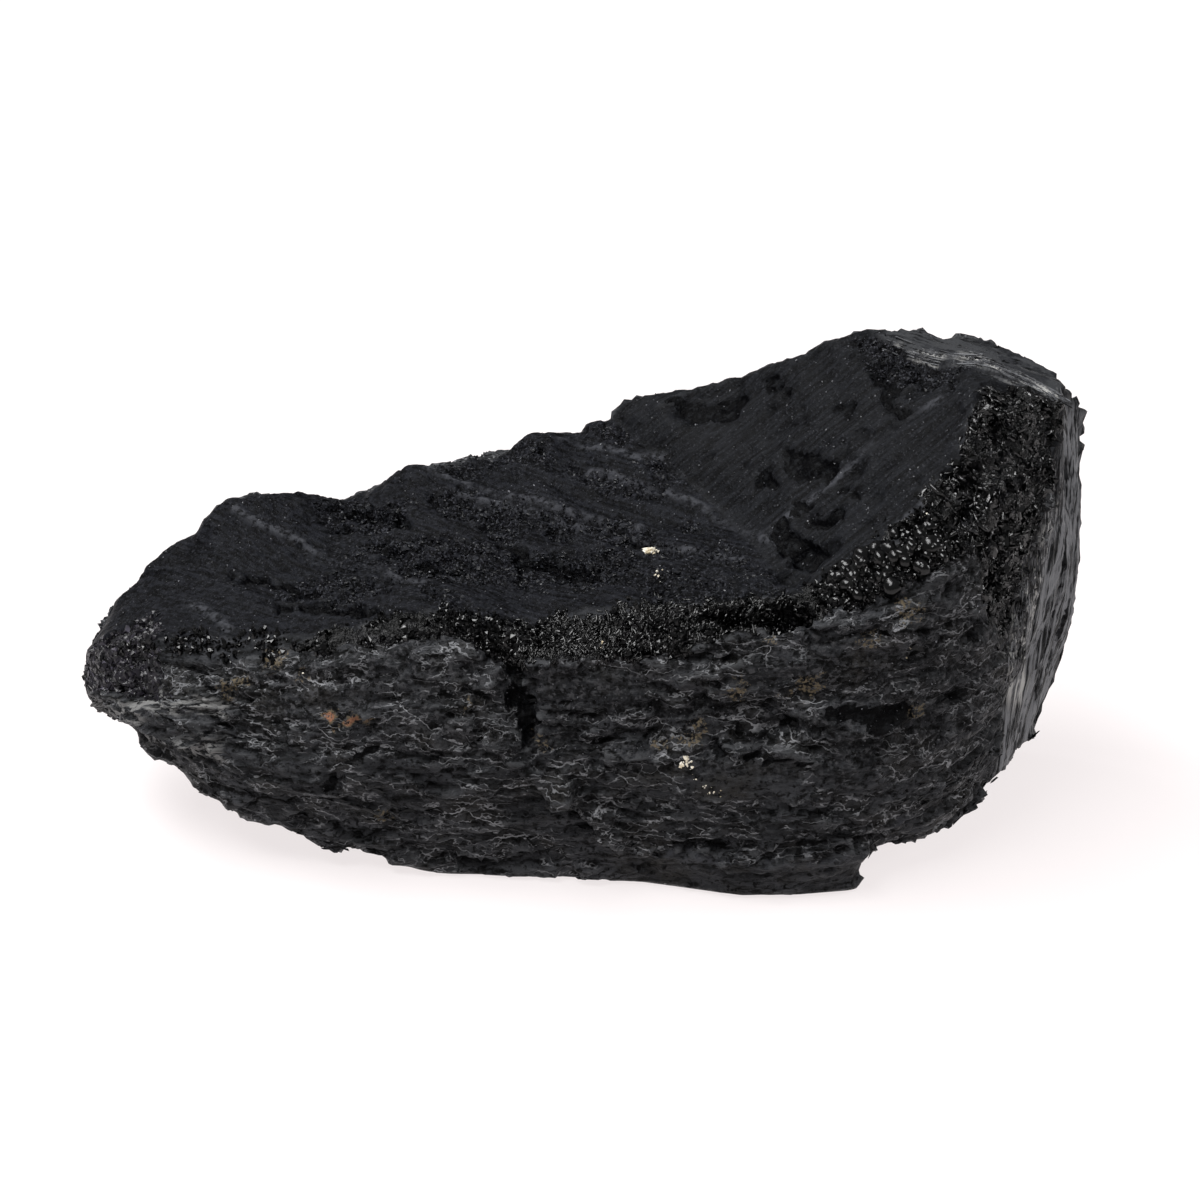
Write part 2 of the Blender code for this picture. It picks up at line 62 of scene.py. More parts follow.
# Lines along the lump, each a list of (station, x, y, z) in millimetres. Stations run from the nose, 0, to
# the edge of the right end, 13.
FEATURE_LINES = {
    "foot_front": (
        (0, -60.0, -1.0, 12.4), (1, -56.7, -5.5, 13.2), (1.3, -54.3, -8.0, 12.1), (1.6, -51.3, -10.5, 10.3),
        (2.05, -47.4, -12.5, 9.5), (2.3, -46.0, -14.0, 7.8), (2.65, -43.3, -15.5, 8.1),
        (3, -41.3, -16.3, 6.5),
        (3.3, -38.2, -17.2, 6.2), (3.6, -34.9, -18.0, 4.2), (4, -30.3, -19.3, 2.6), (5, -17.5, -20.2, 0.0),
        (6, -5.5, -20.5, 0.0), (7, 6.0, -22.0, 0.0), (8, 17.0, -25.0, 0.0), (9, 24.5, -25.0, 0.0),
        (10, 31.0, -24.0, 0.0), (10.2, 32.0, -23.0, 0.0), (10.5, 32.8, -20.5, 2.0), (11, 34.5, -18.5, 2.2),
        (12, 42.5, -15.5, 2.8), (12.5, 45.5, -12.5, 4.4), (13, 48.8, -9.5, 7.3),
    ),
    "lip": (
        (0, -60.5, -2.0, 13.5), (1, -56.5, -8.0, 16.0), (2, -48.5, -14.0, 13.6), (3, -40.5, -18.0, 10.2),
        (4, -30.0, -20.5, 8.0), (5, -17.0, -22.0, 5.5), (6, -5.5, -23.0, 5.5), (7, 6.0, -24.0, 6.0),
        (8, 17.5, -26.0, 6.0), (9, 24.5, -26.0, 6.0), (10, 30.5, -25.5, 7.0), (11, 34.5, -23.0, 8.5),
        (12, 42.5, -19.0, 10.5), (13, 49.0, -11.0, 18.0),
    ),
    "belly": (
        (0, -60.5, -3.0, 15.5), (1, -57.0, -9.0, 18.0), (2, -49.0, -16.0, 19.0), (3, -40.0, -20.0, 17.5),
        (4, -29.0, -23.0, 16.0), (5, -16.5, -25.0, 15.5), (6, -5.5, -26.0, 15.5), (7, 6.0, -27.0, 16.0),
        (8, 17.5, -28.0, 16.5), (9, 24.5, -28.0, 17.0), (10, 30.5, -27.5, 18.0), (11, 35.0, -26.0, 18.5),
        (12, 43.0, -22.0, 20.0), (13, 50.5, -13.5, 26.0),
    ),
    "brow": (
        (0, -60.5, -3.0, 17.0), (1, -57.5, -9.0, 20.0), (2, -49.0, -15.0, 22.0), (3, -39.5, -18.0, 24.5),
        (4, -30.0, -21.0, 28.5), (5, -17.5, -23.0, 31.0), (6, -6.5, -24.0, 30.5), (7, 6.0, -25.0, 31.5),
        (8, 22.5, -27.0, 35.0), (9, 30.0, -27.0, 37.5), (10, 36.5, -26.0, 39.0), (11, 42.5, -23.5, 42.0),
        (12, 46.5, -20.5, 45.0), (13, 53.0, -12.0, 43.5),
    ),
    "ridge": (
        (0, -60.5, -2.0, 18.5), (1, -58.0, -7.0, 23.0), (2, -50.0, -11.0, 27.0), (3, -40.5, -13.0, 28.0),
        (4, -31.0, -17.0, 29.5), (5, -17.5, -18.0, 33.5), (6, -6.5, -20.0, 32.0), (7, 4.5, -20.0, 34.5),
        (8, 23.5, -22.0, 37.5), (9, 29.0, -22.0, 39.5), (10, 35.0, -21.0, 44.5), (11, 40.0, -19.0, 50.0),
        (12, 44.0, -15.0, 57.5), (13, 53.6, -9.0, 54.4),
    ),
    "slope": (
        (0, -60.5, 0.0, 19.5), (1, -57.5, -2.0, 23.5), (2, -51.0, -2.0, 27.5), (3, -42.0, -1.0, 31.0),
        (4, -32.0, -1.0, 31.5), (5, -21.0, -2.0, 35.0), (6, -9.5, -2.0, 36.0), (7, 1.5, -2.0, 37.0),
        (8, 17.0, -6.0, 39.5), (9, 22.0, -6.0, 44.5), (10, 28.5, -6.0, 49.5), (11, 34.0, -5.0, 54.0),
        (12, 44.0, -4.0, 57.5), (13, 54.6, -3.0, 54.6),
    ),
    "crest": (
        (0, -60.0, 2.0, 19.5), (1, -57.0, 4.0, 24.5), (1.6, -53.5, 6.0, 28.0), (2, -51.0, 7.0, 30.5),
        (2.3, -48.5, 7.5, 31.5), (2.6, -46.0, 8.0, 34.6), (2.8, -44.6, 8.4, 36.3), (3, -43.0, 9.0, 36.3),
        (4, -36.5, 10.5, 36.9), (4.2, -31.5, 11.0, 34.7), (4.4, -28.5, 11.0, 34.6), (4.6, -26.5, 11.5, 35.4),
        (5, -24.0, 12.0, 37.6), (5.15, -22.3, 12.2, 39.4), (5.6, -17.0, 12.5, 39.5), (6, -11.5, 13.0, 39.1),
        (6.25, -8.6, 13.6, 41.2), (6.4, -7.0, 14.0, 42.6), (7, -1.5, 14.0, 42.0), (7.3, 0.2, 14.0, 43.8),
        (8, 2.5, 14.0, 44.0), (8.1, 3.6, 14.0, 45.4), (8.4, 6.5, 14.0, 47.5), (8.8, 12.5, 13.0, 48.5),
        (9.1, 16.0, 12.0, 49.1), (9.4, 18.5, 11.0, 50.6), (10, 23.5, 8.0, 54.4), (10.4, 26.6, 7.2, 55.2),
        (10.6, 28.0, 7.0, 56.8), (10.9, 30.5, 6.0, 58.0), (11, 32.5, 6.0, 59.2), (11.4, 37.5, 7.0, 58.3),
        (12, 44.5, 8.0, 56.5), (12.5, 49.5, 8.0, 55.3), (13, 55.0, 4.5, 53.4),
    ),
    "back_shoulder": (
        (0, -60.0, 4.0, 18.0), (1, -56.0, 10.0, 22.5), (2, -50.0, 15.0, 26.0), (3, -42.5, 19.0, 29.5),
        (5, -24.0, 23.0, 32.0), (7, -3.0, 25.0, 36.0), (8, 2.0, 25.0, 37.5), (9, 14.0, 24.0, 42.0),
        (10, 25.0, 21.0, 47.0), (11, 34.0, 18.5, 50.5), (12, 49.0, 17.5, 49.0), (13, 60.0, 12.5, 45.5),
    ),
    "back_mid": (
        (0, -60.0, 4.0, 16.0), (1, -55.5, 12.0, 17.0), (2, -49.0, 18.0, 18.0), (3, -41.0, 23.0, 19.0),
        (5, -23.0, 28.0, 19.0), (7, -3.0, 30.5, 21.0), (8, 3.0, 31.0, 22.0), (9, 14.0, 30.0, 24.0),
        (10, 26.0, 28.0, 26.0), (11, 36.0, 25.5, 28.0), (12, 50.5, 21.5, 30.0), (13, 62.4, 16.0, 28.0),
    ),
    "back_low": (
        (0, -60.0, 3.0, 14.0), (1, -55.0, 10.0, 13.0), (2, -48.0, 16.0, 11.0), (3, -40.0, 21.0, 9.0),
        (5, -22.0, 26.0, 7.0), (7, -2.0, 29.0, 7.0), (8, 4.0, 29.0, 7.0), (9, 15.0, 28.0, 8.0),
        (10, 27.0, 25.0, 9.0), (11, 37.0, 22.5, 11.0), (12, 49.5, 19.0, 13.0), (13, 61.4, 15.0, 12.0),
    ),
    "foot_back": (
        (0, -60.0, 2.0, 13.0), (1, -55.0, 6.0, 11.0), (2, -47.0, 10.0, 7.0), (3, -38.0, 14.0, 3.5),
        (4, -28.0, 17.0, 0.8), (5, -19.0, 19.0, 0.0), (6, -6.0, 21.0, 0.0), (7, 5.0, 22.0, 0.0),
        (8, 12.0, 22.0, 0.0), (9, 20.0, 20.0, 0.0), (10, 28.0, 16.0, 0.0), (11, 36.0, 12.0, 2.5),
        (12, 46.5, 12.0, 2.5), (13, 57.5, 12.0, 3.0),
    ),
    "sole": (
        (0, -60.0, 1.0, 12.5), (1, -55.5, 0.0, 11.5), (2, -47.5, 0.0, 7.5), (3, -39.0, 0.0, 4.0),
        (4, -29.0, 0.0, 0.8), (5, -18.0, 0.0, 0.0), (6, -6.0, 0.0, 0.0), (7, 6.0, 0.0, 0.0),
        (8, 15.0, 0.0, 0.0), (9, 23.0, 0.0, 0.0), (10, 29.0, -3.0, 0.0), (11, 35.5, -3.0, 2.4),
        (12, 44.5, -2.0, 3.0), (13, 53.2, 2.0, 4.8),
    ),
}

# The point of the nose and the middle of the right end.
NOSE = (-60.9, 0.5, 16.0)
END_FACE_CENTRE = (57.0, 2.5, 28.0)

LAST_STATION = 13.0
VALLEY_STATION = 8.0

# Hollows and welts that show on their own: name, start, end, reach and height in millimetres.
SCARS = (
    ("slot_under_the_ridge", (13.0, -22.6, 35.0), (23.0, -24.3, 36.4), 1.9, -2.6),
    ("grainy_recess", (8.5, -27.0, 23.5), (20.0, -27.5, 24.0), 4.0, -1.5),
    ("upright_crevice", (-9.7, -22.5, 31.0), (-6.7, -25.0, 22.9), 2.4, -1.6),
    ("valley_pit", (22.6, -18.5, 38.6), (25.4, -17.0, 40.0), 2.8, -1.1),
    ("middle_pit", (23.0, -14.5, 40.0), (26.2, -14.9, 42.0), 2.0, -0.4),
    ("upper_pit", (24.9, -8.7, 44.9), (29.8, -10.5, 47.5), 2.2, -0.4),
    ("far_pit", (12.3, 9.7, 47.0), (16.5, 9.8, 48.9), 3.0, -0.7),
    ("rough_hollow", (-18.2, -7.6, 34.4), (-2.0, -10.0, 35.0), 3.6, -0.8),
    ("left_hollow", (-28.8, 7.5, 34.7), (-24.5, 4.0, 34.7), 2.6, -0.7),
    ("small_hollow", (-23.0, -3.5, 34.0), (-17.1, -6.0, 34.6), 2.4, -0.7),
    ("crumbled_top", (44.6, -13.4, 57.0), (46.8, -15.7, 52.0), 2.8, -1.4),
    ("crumbled_pit", (41.1, -18.4, 50.7), (42.5, -20.5, 47.0), 2.6, -1.6),
    ("crumbled_side", (47.5, -18.9, 43.8), (46.0, -20.5, 38.0), 2.6, -1.4),
    ("grain_heap", (30.0, -23.5, 40.8), (38.0, -24.0, 42.0), 3.4, 1.0),
    ("upper_welt", (-10.3, -24.7, 22.3), (-3.1, -25.9, 14.8), 2.0, 1.1),
    ("lower_welt", (-3.1, -25.9, 14.8), (4.0, -24.6, 7.0), 2.0, 1.0),
    ("foot_ledge", (8.0, -24.8, 5.6), (30.0, -25.6, 5.6), 2.6, 0.9),
    ("left_step", (-46.5, -13.5, 22.0), (-41.0, -18.5, 19.0), 1.8, -0.7),
    ("left_shelf", (-52.0, -12.5, 18.5), (-43.0, -18.0, 17.5), 2.6, 1.0),
    ("back_hollow", (-9.0, 30.0, 14.0), (1.0, 31.0, 16.0), 8.0, -2.0),
    ("back_scoop", (22.0, 28.0, 34.0), (31.0, 27.0, 36.0), 7.0, -1.8),
    ("back_welt", (-36.0, 23.0, 24.0), (-22.0, 27.5, 25.0), 6.0, 1.4),
)

# Pale raised lines along the foot and on the slopes: start, end and height in millimetres.
STREAKS = (
    ((8.0, -24.8, 6.2), (20.0, -25.8, 5.6), 0.5),
    ((20.0, -25.8, 5.6), (31.0, -25.6, 6.4), 0.5),
    ((31.0, -25.6, 6.4), (37.5, -21.5, 9.8), 0.5),
    ((-22.9, 11.1, 37.4), (-3.2, -0.6, 37.1), 0.35),
    ((-3.2, -0.6, 37.1), (17.4, -14.1, 38.0), 0.4),
    ((0.3, 6.9, 40.4), (12.1, -1.6, 40.1), 0.35),
    ((12.1, -1.6, 40.1), (21.9, -13.8, 39.7), 0.4),
    ((-3.4, 12.7, 42.0), (8.7, 5.5, 42.3), 0.3),
    ((19.7, -11.6, 39.3), (39.8, -8.3, 55.1), 0.18),
    ((23.6, -22.3, 37.4), (40.0, -18.8, 49.7), 0.3),
    ((-44.0, 8.0, 36.0), (-34.4, 2.6, 33.1), 0.25),
    ((-34.4, 2.6, 33.1), (-18.8, -11.8, 33.8), 0.4),
    ((-19.5, 11.0, 39.0), (-8.1, 4.2, 38.0), 0.35),
    ((-8.1, 4.2, 38.0), (6.2, -4.0, 37.7), 0.4),
    ((-52.0, 2.0, 29.5), (-41.3, -11.8, 28.2), 0.3),
)

# Where the left slope is eaten away: start, end and reach in millimetres.
ROUGH_PATCHES = (
    ((-19.0, -7.0, 34.4), (2.5, -12.0, 35.3), 5.5),
    ((-30.0, 8.0, 34.7), (-25.0, 4.5, 34.7), 4.2),
    ((-25.0, -2.0, 34.0), (-14.0, -6.6, 34.6), 4.2),
    ((-10.0, 2.0, 36.5), (5.0, -5.0, 37.0), 4.0),
    ((-34.0, -6.0, 31.0), (-24.0, -10.0, 32.5), 3.4),
    ((-16.0, 6.0, 37.0), (-8.0, -2.0, 36.4), 3.0),
    ((31.5, 3.4, 57.2), (41.0, -5.0, 56.8), 3.4),
)

# Chips broken out of the slopes and the front, sunk and with floors painted near black as shade: start, end
# and reach in millimetres.
PITS = (
    ((-6.3, -21.7, 31.6), (-8.0, -24.4, 26.7), 1.5),
    ((-8.0, -24.6, 26.5), (-7.0, -25.4, 21.5), 1.4),
    ((-29.4, -22.1, 13.6), (-24.6, -23.3, 18.8), 1.3),
    ((39.2, -19.0, 49.1), (43.3, -20.3, 47.1), 1.5),
    ((15.2, -27.5, 19.9), (23.7, -27.9, 18.9), 1.0),
    ((27.0, -27.6, 25.5), (36.0, -26.3, 24.0), 1.8),
    ((-28.2, 8.6, 34.6), (-21.2, 1.5, 35.7), 1.5),
    ((-19.5, -5.2, 34.6), (-13.5, -8.9, 34.4), 2.3),
    ((-10.0, -4.2, 35.5), (-6.0, -7.5, 35.2), 1.7),
    ((-7.0, -7.0, 35.3), (0.4, -12.0, 35.2), 2.3),
    ((-35.5, -9.0, 29.9), (-25.0, -14.6, 31.7), 1.9),
    ((-41.8, -1.2, 30.9), (-32.2, -6.2, 30.9), 1.5),
    ((4.0, -6.5, 37.0), (12.0, -10.0, 37.2), 1.2),
    ((23.0, -4.0, 46.4), (27.3, -8.6, 46.9), 2.0),
    ((20.1, -3.4, 44.4), (22.0, -6.4, 44.1), 1.2),
    ((22.2, -13.0, 40.4), (25.4, -17.6, 39.8), 3.1),
    ((24.2, -11.0, 43.4), (31.0, -14.8, 45.6), 1.3),
    ((23.7, -11.8, 42.3), (28.4, -15.4, 43.2), 1.4),
    ((13.0, 9.4, 47.4), (17.9, 6.8, 48.1), 3.2),
    ((9.7, 12.6, 46.8), (14.0, 9.5, 46.9), 1.2),
    ((32.9, -1.8, 54.8), (36.2, -7.5, 53.7), 2.0),
    ((28.0, -2.0, 52.2), (30.5, -4.0, 52.0), 1.4),
    ((22.0, 6.7, 51.8), (23.6, 3.9, 51.5), 1.1),
)

# Where fibres stand open and are painted a silvery grey, partly their own tone and partly painted sheen:
# start, end and reach in millimetres.
SILVERY = (
    ((36.0, 2.6, 57.4), (43.0, -1.6, 57.0), 1.1),
    ((43.0, -1.6, 57.0), (52.4, -7.0, 55.6), 2.0),
    ((57.0, 4.0, 47.0), (54.0, -9.0, 43.5), 3.4),
    ((54.0, -9.0, 43.5), (51.6, -14.0, 36.0), 4.2),
    ((51.6, -14.0, 36.0), (49.6, -15.4, 26.0), 4.4),
    ((50.0, -14.0, 26.0), (51.7, -6.0, 16.5), 3.4),
    ((-59.2, -4.4, 15.0), (-54.2, -11.1, 17.6), 2.0),
    ((-54.2, -11.1, 17.6), (-50.8, -14.1, 19.9), 1.8),
    ((-50.8, -14.1, 19.9), (-41.7, -18.3, 20.8), 1.5),
    ((-53.5, -9.7, 12.9), (-49.5, -13.8, 14.6), 2.2),
    ((-49.5, -13.8, 14.6), (-43.0, -18.2, 16.2), 2.2),
)

# Even flats on the front: start, end and reach in millimetres.
FLATS = (
    ((4.0, -24.5, 3.0), (31.0, -25.0, 3.0), 4.6),
    ((13.0, -27.6, 17.0), (22.5, -28.0, 17.4), 3.4),
    ((-4.0, -25.0, 27.5), (5.0, -25.6, 27.0), 3.0),
    ((26.0, -27.5, 30.5), (33.0, -27.0, 31.0), 2.6),
    ((-36.0, -19.5, 22.0), (-26.0, -22.2, 24.5), 2.2),
)

# Iron stain: centre, reach in millimetres, and strength.
STAINS = (
    ((-29.3, -22.0, 22.4), 2.2, 1.0),
    ((-26.6, -22.4, 22.3), 1.8, 0.85),
    ((-24.6, -22.8, 21.6), 1.6, 0.7),
    ((-40.4, -17.8, 23.6), 3.2, 0.55),
    ((-36.0, -17.4, 27.2), 3.0, 0.5),
    ((-32.4, -20.3, 26.9), 2.2, 0.4),
    ((11.5, -26.8, 22.3), 2.6, 0.55),
    ((8.2, -26.6, 20.9), 1.8, 0.45),
    ((17.0, -26.9, 28.0), 2.4, 0.6),
    ((24.1, -27.4, 28.2), 2.8, 0.6),
    ((20.2, -26.6, 34.0), 1.6, 0.5),
    ((31.1, -26.9, 34.1), 2.4, 0.45),
    ((36.5, -25.5, 24.4), 2.4, 0.5),
    ((34.9, -26.2, 37.4), 2.6, 0.45),
    ((3.0, -26.0, 27.5), 1.8, 0.4),
    ((-14.0, -24.5, 25.0), 1.7, 0.45),
    ((-6.0, -25.4, 20.5), 1.7, 0.4),
    ((-23.0, -21.5, 9.0), 1.8, 0.45),
    ((12.0, 30.0, 22.0), 4.0, 0.5),
    ((-25.0, 27.0, 18.0), 3.0, 0.4),
)


def smooth(t: Array) -> Array:
    """An S-curve from 0 to 1: three times t squared less twice t cubed."""
    t = np.clip(t, 0.0, 1.0)
    return t * t * (3.0 - 2.0 * t)


def window(value: Array, low: float, high: float, edge: float) -> Array:
    """1 between low and high, easing to 0 over an edge of that width on each side."""
    return smooth((value - low) / edge + 0.5) * smooth((high - value) / edge + 0.5)


def scattered(cells: Array, seed: int) -> Array:
    """Mixes the bits of whole-number cell places into fixed values.

    Args:
        cells: whole numbers, three to a row.
        seed: picks one of many unlike sets of values.

    Returns:
        One value from 0 to 1 for each row.
    """
    ix, iy, iz = (cells[..., k].astype(np.int64).astype(np.uint32) for k in range(3))
    mixed = (
        ix * np.uint32(374761393)
        + iy * np.uint32(668265263)
        + iz * np.uint32(2246822519)
        + np.uint32(seed * 3266489917 % 2**32)
    )
    mixed = (mixed ^ (mixed >> np.uint32(13))) * np.uint32(1274126177)
    mixed = mixed ^ (mixed >> np.uint32(16))
    return (mixed & np.uint32(0xFFFF)) / 65535.0


def noise(points: Array, size: float, seed: int) -> Array:
    """Smooth noise: the values at a cell's eight corners, blended by an S-curve each way.

    Args:
        points: places in millimetres.
        size: width of a cell in millimetres.
        seed: picks the set of corner values.

    Returns:
        One value from -1 to 1 for each point.
    """
    scaled = points / size
    corner = np.floor(scaled)
    weight = smooth(scaled - corner)
    total = np.zeros(len(points))
    for step in np.ndindex(2, 2, 2):
        share = np.prod(np.where(np.array(step) == 1, weight, 1.0 - weight), axis=1)
        total += share * (2.0 * scattered(corner + step, seed) - 1.0)
    return total


def fractal(points: Array, size: float, seed: int, octaves: int = 4, gain: float = 0.5) -> Array:
    """Noise at several sizes, each half as wide and gain times as strong as the one before.

    Args:
        points: places in millimetres.
        size: width of the coarsest cells in millimetres.
        seed: picks the set of corner values.
        octaves: number of sizes.
        gain: strength of each size against the one before.

    Returns:
        One value, mostly from -1 to 1, for each point.
    """
    total = np.zeros(len(points))
    strength = 0.0
    for octave in range(octaves):
        total += gain**octave * noise(points, size / 2**octave, seed + 97 * octave)
        strength += gain**octave
    return total / strength


def layered(
    across: Array, along: Array, thickness: float, length: float, seed: int, sharpness: float = 0.25
) -> Array:
    """Flat layers, each broken off by its own amount, with a short step between one and the next.

    Args:
        across: distance over the layers in millimetres.
        along: distance along the layers in millimetres.
        thickness: height of one layer in millimetres.
        length: how far a layer keeps much the same height, in millimetres.
        seed: picks the heights.
        sharpness: share of a layer that its step takes.

    Returns:
        Heights from -1 to 1.
    """
    scaled = across / thickness
    layer = np.floor(scaled)
    step = smooth((scaled - layer - 0.5) / sharpness + 0.5)
    return noise(np.stack([layer + step, along / length, np.zeros_like(along)], axis=1), 1.0, seed)


def facetted(points: Array, size: float, seed: int, steepness: float) -> Array:
    """A crust of small crystals: the highest of the tilted square pyramids of the 27 cells around.

    Args:
        points: places in millimetres.
        size: width of a cell, which holds one pyramid, in millimetres.
        seed: picks the pyramids' places, heights and turns.
        steepness: fall of a pyramid's side for each cell width.

    Returns:
        Heights, mostly from 0 to 1, for each point.
    """
    scaled = points / size
    corner = np.floor(scaled)
    best = np.full(len(points), -9.0)
    for step in np.ndindex(3, 3, 3):
        cell = corner + np.array(step) - 1.0
        random = [scattered(cell, seed + k) for k in range(6)]
        centre = cell + np.stack(random[:3], axis=1)
        offset = scaled - centre
        turn, lean = 6.283 * random[3], 3.142 * random[4]
        side = np.stack([np.cos(turn) * np.sin(lean), np.sin(turn) * np.sin(lean), np.cos(lean)], axis=1)
        other = np.stack([np.cos(turn) * np.cos(lean), np.sin(turn) * np.cos(lean), -np.sin(lean)], axis=1)
        third = np.cross(side, other)
        reach = np.max(np.abs([np.sum(offset * way, axis=1) for way in (side, other, third)]), axis=0)
        best = np.maximum(best, 0.6 + 0.4 * random[5] - steepness * reach)
    return np.clip(best, -0.5, 1.0)


def plates(points: Array, size: tuple, seed: int, tilt: float) -> Array:
    """Flat plates side by side: each place takes the height and tilt of the cell whose centre is nearest.

    Args:
        points: places in millimetres.
        size: width, depth and height of a cell in millimetres.
        seed: picks the plates' centres, heights and tilts.
        tilt: how far a plate can rise from one cell's edge to the next.

    Returns:
        Heights, mostly from -1 to 1, for each point.
    """
    scaled = points / size
    corner = np.floor(scaled)
    nearest = np.full(len(points), 9.0)
    height = np.zeros(len(points))
    for step in np.ndindex(3, 3, 3):
        cell = corner + np.array(step) - 1.0
        random = [scattered(cell, seed + k) for k in range(6)]
        offset = scaled - cell - np.stack(random[:3], axis=1)
        away = np.sum(offset**2, axis=1)
        lean = tilt * (offset[:, 0] * (random[4] - 0.5) + offset[:, 2] * (random[5] - 0.5))
        height = np.where(away < nearest, 2.0 * random[3] - 1.0 + lean, height)
        nearest = np.minimum(nearest, away)
    return height


def nearness(points: Array, start: tuple, end: tuple, reach: float) -> Array:
    """1 on the line from start to end, easing to 0 at the given distance from it, in millimetres."""
    origin, run = np.array(start), np.array(end) - np.array(start)
    share = np.clip((points - origin) @ run / max(run @ run, 1e-9), 0.0, 1.0)
    away = np.linalg.norm(points - origin - share[:, None] * run, axis=1)
    return smooth(1.0 - away / reach)


def warped(points: Array, size: float, amount: float, seed: int) -> Array:
    """Points shifted by smooth noise, which makes anything measured from them ragged."""
    shift = [fractal(points, size, seed + k, 3) for k in range(3)]
    return points + amount * np.stack(shift, axis=1)


def scars(points: Array) -> Array:
    """The sum of all the scars, in millimetres of height."""
    total = np.zeros(len(points))
    for _, start, end, reach, height in SCARS:
        total += height * smooth(1.7 * nearness(points, start, end, reach))
    return total


@dataclass
class LumpLoft:
    """The lump's smooth-sided form, as a grid of rows along it and columns round it.

    A section at each station joins the feature lines with straight runs. The section is then eased by the
    mean of nine nearby places. The nose and the end face are sections that shrink to a point.
    """

    nose_rows: int = 8
    body_rows: int = 284
    end_rows: int = 38
    columns_between: tuple[int, ...] = (18, 32, 48, 18, 46, 40, 22, 22, 18, 10, 12, 12)
    station_ease: float = 0.12
    edge_ease: float = 0.1

    def lines(self, stations: Array) -> Array:
        """The feature lines at the given stations, as line, station and coordinate."""
        tables = [np.array(points) for points in FEATURE_LINES.values()]
        return np.array([
            np.stack([np.interp(stations, table[:, 0], table[:, k]) for k in (1, 2, 3)], axis=1)
            for table in tables
        ])

    def plain(self, stations: Array, places: Array) -> Array:
        """Sections with straight runs from each feature line to the next."""
        lines = self.lines(stations)
        low = np.floor(places).astype(int)
        share = (places - low)[None, :, None]
        start = lines[low % len(lines)].transpose(1, 0, 2)
        end = lines[(low + 1) % len(lines)].transpose(1, 0, 2)
        return start * (1.0 - share) + end * share

    def eased(self, stations: Array, places: Array) -> Array:
        """The plain sections averaged over nine nearby places, the middle one counting most."""
        weights = ((-1, 0.25), (0, 0.5), (1, 0.25))
        total = np.zeros((len(stations), len(places), 3))
        for along, along_weight in weights:
            shifted = np.clip(stations + along * self.station_ease, 0.0, LAST_STATION)
            for around, around_weight in weights:
                turned = (places + around * self.edge_ease) % len(FEATURE_LINES)
                total += along_weight * around_weight * self.plain(shifted, turned)
        return total

    def closing(self, section: Array, tip: tuple, rows: int, bulge: float) -> Array:
        """Rows that shrink a section to its tip: flat for a bulge of 1, round for a bulge of 2."""
        share = np.arange(1, rows) / rows
        shrink = (1.0 - share**bulge) ** (1.0 / bulge)
        forward = share if bulge > 1.0 else 1.0 - shrink
        centre = section.mean(axis=0)
        middle = centre + forward[:, None] * (np.array(tip) - centre)
        return middle[:, None, :] + (section - centre)[None] * shrink[:, None, None]

    def even_stations(self) -> Array:
        """Stations that cut the lump into body rows of about the same width."""
        fine = np.linspace(0.0, LAST_STATION, 521)
        lines = self.lines(fine)[:7]
        steps = np.linalg.norm(np.diff(lines, axis=1), axis=2).mean(axis=0)
        run = np.concatenate([[0.0], np.cumsum(steps)])
        return np.interp(np.linspace(0.0, run[-1], self.body_rows + 1), run, fine)

    def places(self) -> Array:
        """Where each column is between the feature lines, such as 3.5 half way from line 3 to line 4."""
        return np.concatenate([
            number + np.arange(count) / count for number, count in enumerate(self.columns_between)
        ])

    def grid(self) -> tuple[Array, Array, Array]:
        """Makes the whole grid.

        Returns:
            Points in millimetres by row and column, the station of each row and the place of each column.
        """
        stations, places = self.even_stations(), self.places()
        body = self.eased(stations, places)
        nose = self.closing(body[0], NOSE, self.nose_rows, 2.0)[::-1]
        end = self.closing(body[-1], END_FACE_CENTRE, self.end_rows, 1.0)
        row_stations = np.concatenate([
            -np.arange(1, self.nose_rows)[::-1] / self.nose_rows,
            stations,
            LAST_STATION + np.arange(1, self.end_rows) / self.end_rows,
        ])
        return np.concatenate([nose, body, end]), row_stations, places


def grid_normals(grid: Array) -> Array:
    """Outward unit normals of a grid's points, across the run of its rows and columns."""
    along = np.gradient(grid, axis=0)
    around = np.roll(grid, -1, axis=1) - np.roll(grid, 1, axis=1)
    normals = np.cross(along, around)
    return normals / np.maximum(np.linalg.norm(normals, axis=2, keepdims=True), 1e-9)


def neighbour_mean(grid: Array, passes: int) -> Array:
    """A grid of numbers blurred by the mean of its four neighbours and itself, passes times."""
    for _ in range(passes):
        ends = np.concatenate([grid[:1], grid, grid[-1:]])
        grid = 0.5 * grid + 0.125 * (
            ends[:-2] + ends[2:] + np.roll(grid, 1, axis=1) + np.roll(grid, -1, axis=1)
        )
    return grid


class Zone(Enum):
    """Kinds of broken surface on the lump. Each value is the name of its mask on the mesh."""

    LEFT_SLOPE = "left_slope"
    RIGHT_SLOPE = "right_slope"
    PATCH = "patch"
    GRANULAR = "granular"
    CRUMBLED = "crumbled"
    FRONT = "front"
    END_FACE = "end_face"
    STREAKED = "streaked"
    BACK = "back"
    RUSTY = "rusty"
    SILVERY = "silvery"
    # PIT marks chips broken out: sunk, with their floors painted near black as shade.
    PIT = "pit"
    FLAT = "flat"
    PALE_LINE = "pale_line"
    # HOLLOW marks sunk places, which are painted near black as shade; EDGE marks proud places, which get a
    # painted highlight.
    HOLLOW = "hollow"
    EDGE = "edge"


# The relief fades out over this height above the floor, in millimetres, and this far past the nose's first
# section, in stations. What is proud or sunk is told by blurring the relief this many times.
FOOT_FADE = 1.6
NOSE_FADE = 0.9
BLUR_PASSES = 14


